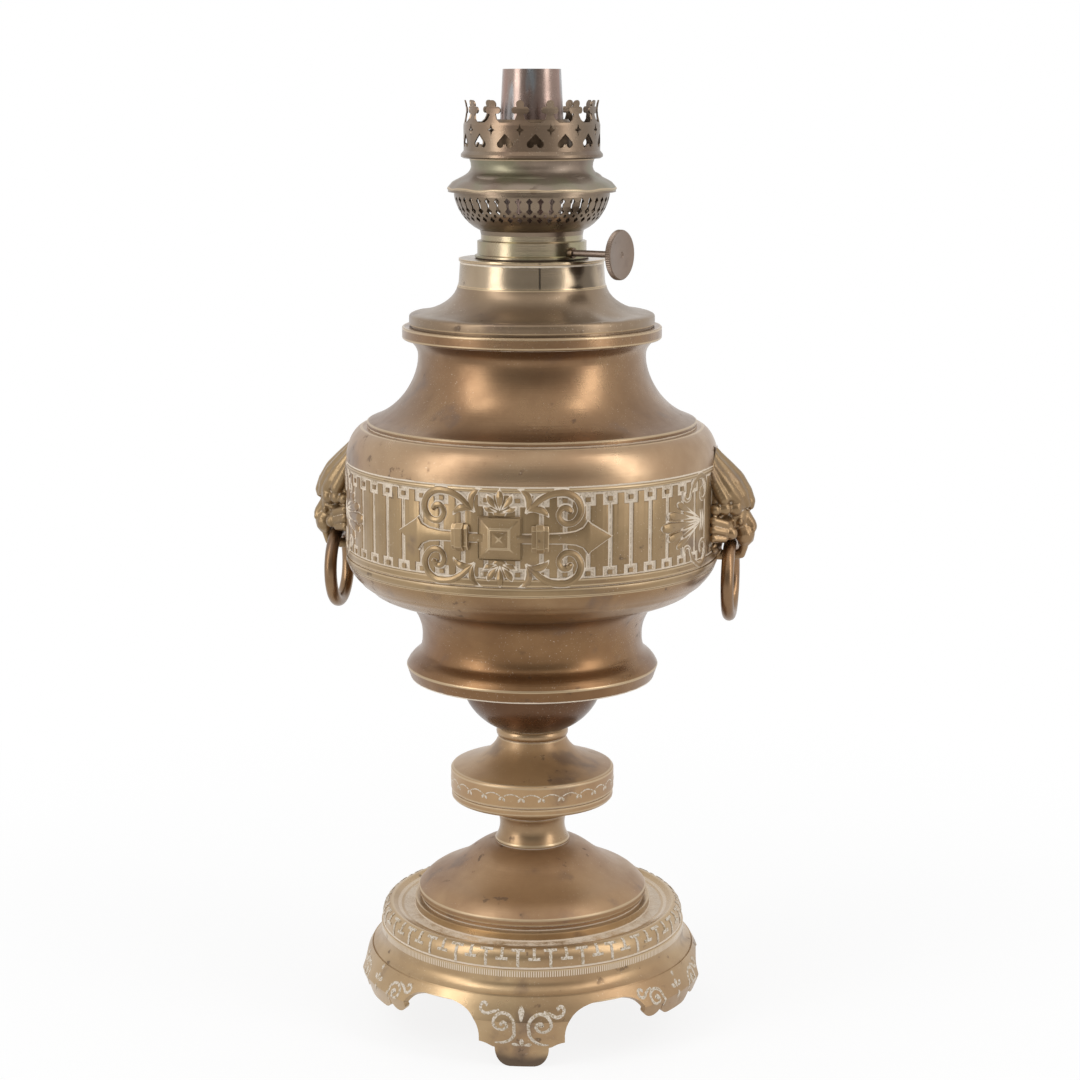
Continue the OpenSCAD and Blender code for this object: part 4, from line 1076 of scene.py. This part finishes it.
# %% Lion masks
def clear_of_ring(out, side, up):
    """Moves a point of the mask out of the way of the ring's wire, from hanging to level."""
    x, z = out - PIVOT_OUT, up
    reach, swing = math.hypot(x, z), math.atan2(x, -z)
    near = min(max(swing, SWING_LOW), SWING_HIGH)
    along, off = reach * math.cos(swing - near), reach * math.sin(swing - near)
    point = Vector((side, along - RING_R, off))
    wire = Vector((point.x, point.y, 0)).normalized() * RING_R
    apart = point - wire
    if apart.length > WIRE + CLEAR:
        return out, side, up
    side, along, off = wire + apart.normalized() * (WIRE + CLEAR) + Vector((0, RING_R, 0))
    return (PIVOT_OUT + along * math.sin(near) + off * math.cos(near), side,
            off * math.sin(near) - along * math.cos(near))


def lion_mask(node, turn):
    """A head with residue in its hollows, set on its side of the frieze with its back sunk in the wall."""
    head = lion_head()
    layer = hollow_of(head)
    head.normal_update()
    for vert in head.verts:
        around = [e.other_vert(vert).co for e in vert.link_edges]
        dip = (sum(around, Vector()) / len(around) - vert.co).dot(vert.normal)
        vert[layer] = min(1.0, max(0.0, dip * 14 - 0.15))
    for vert in head.verts:
        out, side, up = vert.co
        out, side, up = clear_of_ring(min(out, NOSE + (out - NOSE) * NOSE_SHARE), side, up)
        wall = BELLY + (0.0 if -2 < up < 30 else 0.9) - SINK
        spot = Vector((BELLY + out, side, PIVOT_Z + up))
        reach = math.hypot(spot.x, spot.y)
        if reach < wall:
            spot.x, spot.y = spot.x * wall / reach, spot.y * wall / reach
        vert.co = turned(turn) @ (spot * MM)
    place(node + "_cast", head, cast_brass, node, sharp=180)


lion_mask("lion_mask_right", 0)
lion_mask("lion_mask_left", 180)

# %% [markdown]
# ## The rings
# A ring is a bent wire. A torus could be added, but a circle spun about the ring's own axis is the same work
# as the turned pieces. The wire's brass mixes a bright and a brown tone in clouds.

# %% Rings
ring_brass = brass("ring_brass", (0.27, 0.165, 0.085), (0.15, 0.085, 0.042), 0.28, lathe=0.0, dust=0.1)


def mouth_ring(node, side):
    """A ring that hangs from its pivot in a lion's mouth."""
    centre = Vector((side * (BELLY + PIVOT_OUT), 0, PIVOT_Z - RING_R)) * MM
    solid = bmesh.new()
    hollow_of(solid)
    shape = Matrix.Translation(centre + Vector((0, 0, RING_R * MM))) @ Matrix.Rotation(math.pi / 2, 4, "X")
    bmesh.ops.create_circle(solid, segments=28, radius=WIRE * MM, matrix=shape)
    bmesh.ops.spin(solid, geom=solid.verts[:] + solid.edges[:], cent=centre, axis=(1, 0, 0), angle=FULL_TURN,
                   steps=96, use_merge=True)
    place(node + "_wire", welded(solid), ring_brass, node)


mouth_ring("ring_right", 1)
mouth_ring("ring_left", -1)

# %% [markdown]
# ## The fount and the burner
# The lid, the collar and the burner's shoulder are spun from thin sheet that has been knocked about for a
# century. They are spun like the vase, and then pushed in here and there: a dent is a smooth hollow that
# fades with distance. A sculpting brush would do it too, but a list of dents can be read and changed.

# %% Finishes of the burner
HEAT_STREAKS, SEAM, STAIN = (90, 90, 22), -1.292, -0.6


def green_film(where, colour):
    """Thin patches of verdigris."""
    film = rise(noise(where, 55, 2), 0.5, 0.68)
    return blend(film * 0.35, colour, (0.17, 0.22, 0.1))


def heat_tint(where, colour):
    """Pink and blue oxide colours, stronger towards the mouth of the tube."""
    streaks = stretched(where, HEAT_STREAKS)
    hot = rise(axes_of(where)[2], 0.35, 0.38)
    warm = rise(noise(streaks, 1.0, 2), 0.42, 0.62)
    blue = rise(noise(streaks, 1.7, 2), 0.56, 0.7) * hot
    colour = blend(warm * 0.5, colour, (0.34, 0.19, 0.15))
    return blend(blue * 0.55, colour, (0.36, 0.44, 0.48))


def smudges(where, colour):
    """The upright seam of the collar, and dark stains beside it."""
    x, y, _ = axes_of(where)
    turn = y.math("ARCTAN2", x)
    from_seam, from_stain = ((turn - middle).math("ABSOLUTE") for middle in (SEAM, STAIN))
    seam = 1 - rise(from_seam, 0.006, 0.02)
    stain = 1 - rise(from_stain + noise(where, 60, 2) * 0.3, 0.28, 0.52)
    colour = blend(stain * 0.75, colour, (0.06, 0.042, 0.026))
    return blend(seam * 0.8, colour, (0.05, 0.035, 0.022))


burner_brass = brass("burner_brass", (0.23, 0.172, 0.118), (0.14, 0.1, 0.067), 0.3, 0.3)
green_brass = brass("green_brass", (0.4, 0.325, 0.215), (0.25, 0.19, 0.12), 0.24, 0.4, extra=green_film)
collar_brass = brass("collar_brass", (0.4, 0.31, 0.21), (0.25, 0.185, 0.115), 0.22, extra=smudges)
cap_brass = brass("cap_brass", (0.28, 0.22, 0.165), (0.18, 0.135, 0.1), 0.36, dull=0.35, extra=green_film)
lid_brass = brass("lid_brass", (0.26, 0.182, 0.112), (0.18, 0.122, 0.072), 0.34, dust=0.6, dull=0.2)
tube_brass = brass("tube_brass", (0.31, 0.235, 0.2), (0.2, 0.14, 0.12), 0.22, 0.1, extra=heat_tint)
print("burner finishes ready")


# %% Spun pieces with dents
def dented(solid, dents):
    """Pushes in smooth hollows, each (angle in degrees, radius, height, depth, reach) in millimetres."""
    for vert in solid.verts:
        for angle, radius, height, depth, reach in dents:
            middle = polar(radius, math.radians(angle), height) * MM
            far = (vert.co - middle).length / (reach * MM)
            if far < 1:
                vert.co.z -= depth * MM * (1 - far * far) ** 2
    return solid


lid_dents = [(-52, 40, 291, 0.7, 9), (-44, 33, 296, 0.6, 8), (-34, 42, 290, 0.6, 9), (-110, 41, 291, 0.4, 12),
             (60, 38, 293, 0.6, 11), (160, 42, 290, 0.5, 10)]
cap_dents = [(-100 + 31 * k, 31.5, 343.4, 0.35 + 0.2 * (k % 3), 5 + k % 4) for k in range(12)]
fount_pieces = {"fount_lid": (lid_brass, lid_dents), "fount_collar": (collar_brass, []),
                "burner_cap": (cap_brass, cap_dents)}
for node, (metal, dents) in fount_pieces.items():
    place(node + "_spun", dented(spun(*eased(section_of(node))), dents), metal, node)

# %% Wavy fold of the cap
FOLD_R, FOLD_UP, FOLD_POINTS = 26.3, 5.2, 10
fold_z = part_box("burner_cap")[0].z / MM + FOLD_UP
fold_path = []
for k in range(FOLD_POINTS):
    cos, sin = polar(1, FULL_TURN * k / FOLD_POINTS, 0).xy
    fold_path.append(Vector((FOLD_R + 1.5 * cos - 0.35 * sin, fold_z - 0.8 * cos + 0.75 * sin)) * MM)
fold = spun(fold_path, [0.0] * FOLD_POINTS)
for vert in fold.verts:
    angle = math.atan2(vert.co.y, vert.co.x)
    vert.co.z += (0.25 * math.sin(3 * angle + 0.6) + 0.2 * math.sin(8 * angle)) * MM
place("burner_cap_fold", fold, cap_brass, body=body_of["burner_cap"], slot=slot_of["burner_cap"])

# %% [markdown]
# ## The knob
# The winder ends in a milled disc with a small dimple in the middle. It is spun like the rest, every other
# rib of its edge is pressed in for the milling, and the whole is laid along the shaft. Cutting each tooth
# would take longer and look the same.

# %% Knob
KNOB_RIM, TOOTH, SHAFT_TURN = 9.6, 2.5, math.radians(-22)
knob_brass = brass("knob_brass", (0.22, 0.16, 0.12), (0.14, 0.098, 0.072), 0.42, 0.0, 0.15, 0.4)
knob_outline = [(0, -1.2), (9.2, -1.2), (9.7, -0.8), (9.7, 0.8), (9.3, 1.2), (8.9, 1.2), (8.5, 1), (1.3, 1),
                (0.9, 0.6), (0, 0.5)]
knob = spun([Vector(p) * MM for p in knob_outline], [0, 0, 0, 0, 0, 0, 0.15, 0.1, 0.3, 0.1])
for vert in knob.verts:
    tooth = round(math.degrees(math.atan2(vert.co.y, vert.co.x)) / TOOTH)
    if vert.co.xy.length > KNOB_RIM * MM and tooth % 2:
        vert.co.xy *= 0.97
middle = sum((Vector(corner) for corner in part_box("wick_knob")), Vector()) / 2
laid = polar(1, SHAFT_TURN, 0).to_track_quat("Z", "Y").to_matrix().to_4x4()
bmesh.ops.transform(knob, matrix=Matrix.Translation(middle) @ laid, verts=knob.verts)
place("wick_knob_milled", knob, knob_brass, "wick_knob", sharp=30)

# %% [markdown]
# ## The wick
# The wick is a sleeve of woven cotton with a slit for the rib of the inner tube, and a tail that hangs in the
# oil. The weave is too fine to model and too regular to paint, so two crossed waves raise it in the material.
# The top edge is charred.

# %% Wick
WEFT, WARP, WICK_IN, WICK_OUT, SLEEVE = 7000, 72, 8.4, 10.6, 44
cotton, tree = finish("woven_cotton")
where = spot_of(tree)
x, y, z = axes_of(where)
weave = (z * WEFT).math("SINE") * (y.math("ARCTAN2", x) * WARP).math("SINE")
fibre = noise(where, 900, 3)
yarn = blend(rise(fibre + weave * 0.2, 0.35, 0.75), (0.62, 0.55, 0.42), (0.82, 0.77, 0.66))
yarn = blend(rise(z + fibre * 0.002, 0.3812, 0.384), yarn, (0.03, 0.025, 0.022))
surface(tree, {"Base Color": yarn, "Roughness": 0.9, "Normal": bump(0.6, 0.4 * MM, weave + fibre)})


def sleeve(low, high, start, turn):
    """Part of a round sleeve of cloth between two heights, from a start angle through a turn, in degrees."""
    outline = [(WICK_IN, low), (WICK_OUT, low), (WICK_OUT, high), (WICK_IN, high)]
    solid = spun([Vector(p) * MM for p in outline], [0, 0, 0, 0], max(6, round(turn / 3)), math.radians(turn),
                 math.radians(start))
    bmesh.ops.holes_fill(solid, edges=[e for e in solid.edges if e.is_boundary])
    return solid


wick_low, wick_high = (corner[2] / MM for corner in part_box("wick"))
wick = [sleeve(wick_high - SLEEVE, wick_high, 81, 334), sleeve(wick_low, wick_high - SLEEVE + 0.5, 219, 58)]
place("wick_woven", joined(wick), cotton, "wick")

# %% [markdown]
# ## Finishes for the rest
# The remaining CAD solids already have the right shape: the pierced basket and gallery, the tubes, the thread
# ring and the hardware inside. They could be made again, but nothing would be gained, so they keep their
# meshes and only change their material.

# %% Metal, steel and seal
def plain(name, colour, rough, metallic):
    """A quiet finish with a little mottle."""
    made, tree = finish(name)
    mottle = noise(spot_of(tree), 260, 4)
    darker = tuple(c * 0.55 for c in colour)
    surface(tree, {"Base Color": blend(rise(mottle, 0.35, 0.7), colour, darker),
                   "Metallic": metallic, "Roughness": mottle * 0.2 + (rough - 0.1)})
    return made


steel = plain("hardware_steel", (0.34, 0.33, 0.31), 0.45, 1.0)
seal = plain("leather_seal", (0.09, 0.055, 0.035), 0.8, 0.0)
dark = plain("inner_brass", (0.2, 0.14, 0.09), 0.4, 1.0)
finishes = {
    burner_brass: ("air_basket", "chimney_gallery"), green_brass: ("burner_case", "collar_thread_ring"),
    tube_brass: ("wick_tube", "air_tube"), knob_brass: ("wick_shaft",), lid_brass: ("fount_tank",),
    dark: ("draught_cone", "spur_wheels", "shaft_bush"), seal: ("burner_gasket",),
    steel: ("tie_rod", "tie_nuts", "tie_washers", "mask_bolts", "mask_nuts"),
}
for material, nodes in finishes.items():
    for node in nodes:
        for held in frame["nodes"][node].material_slots:
            held.material = material
print("finishes:", {m.name: len(n) for m, n in finishes.items()})

# %% Finish
visual_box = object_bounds()
for name, box in (("cad", cad_box), ("visual", visual_box)):
    print(name, "box", [[round(v, 4) for v in corner] for corner in box])
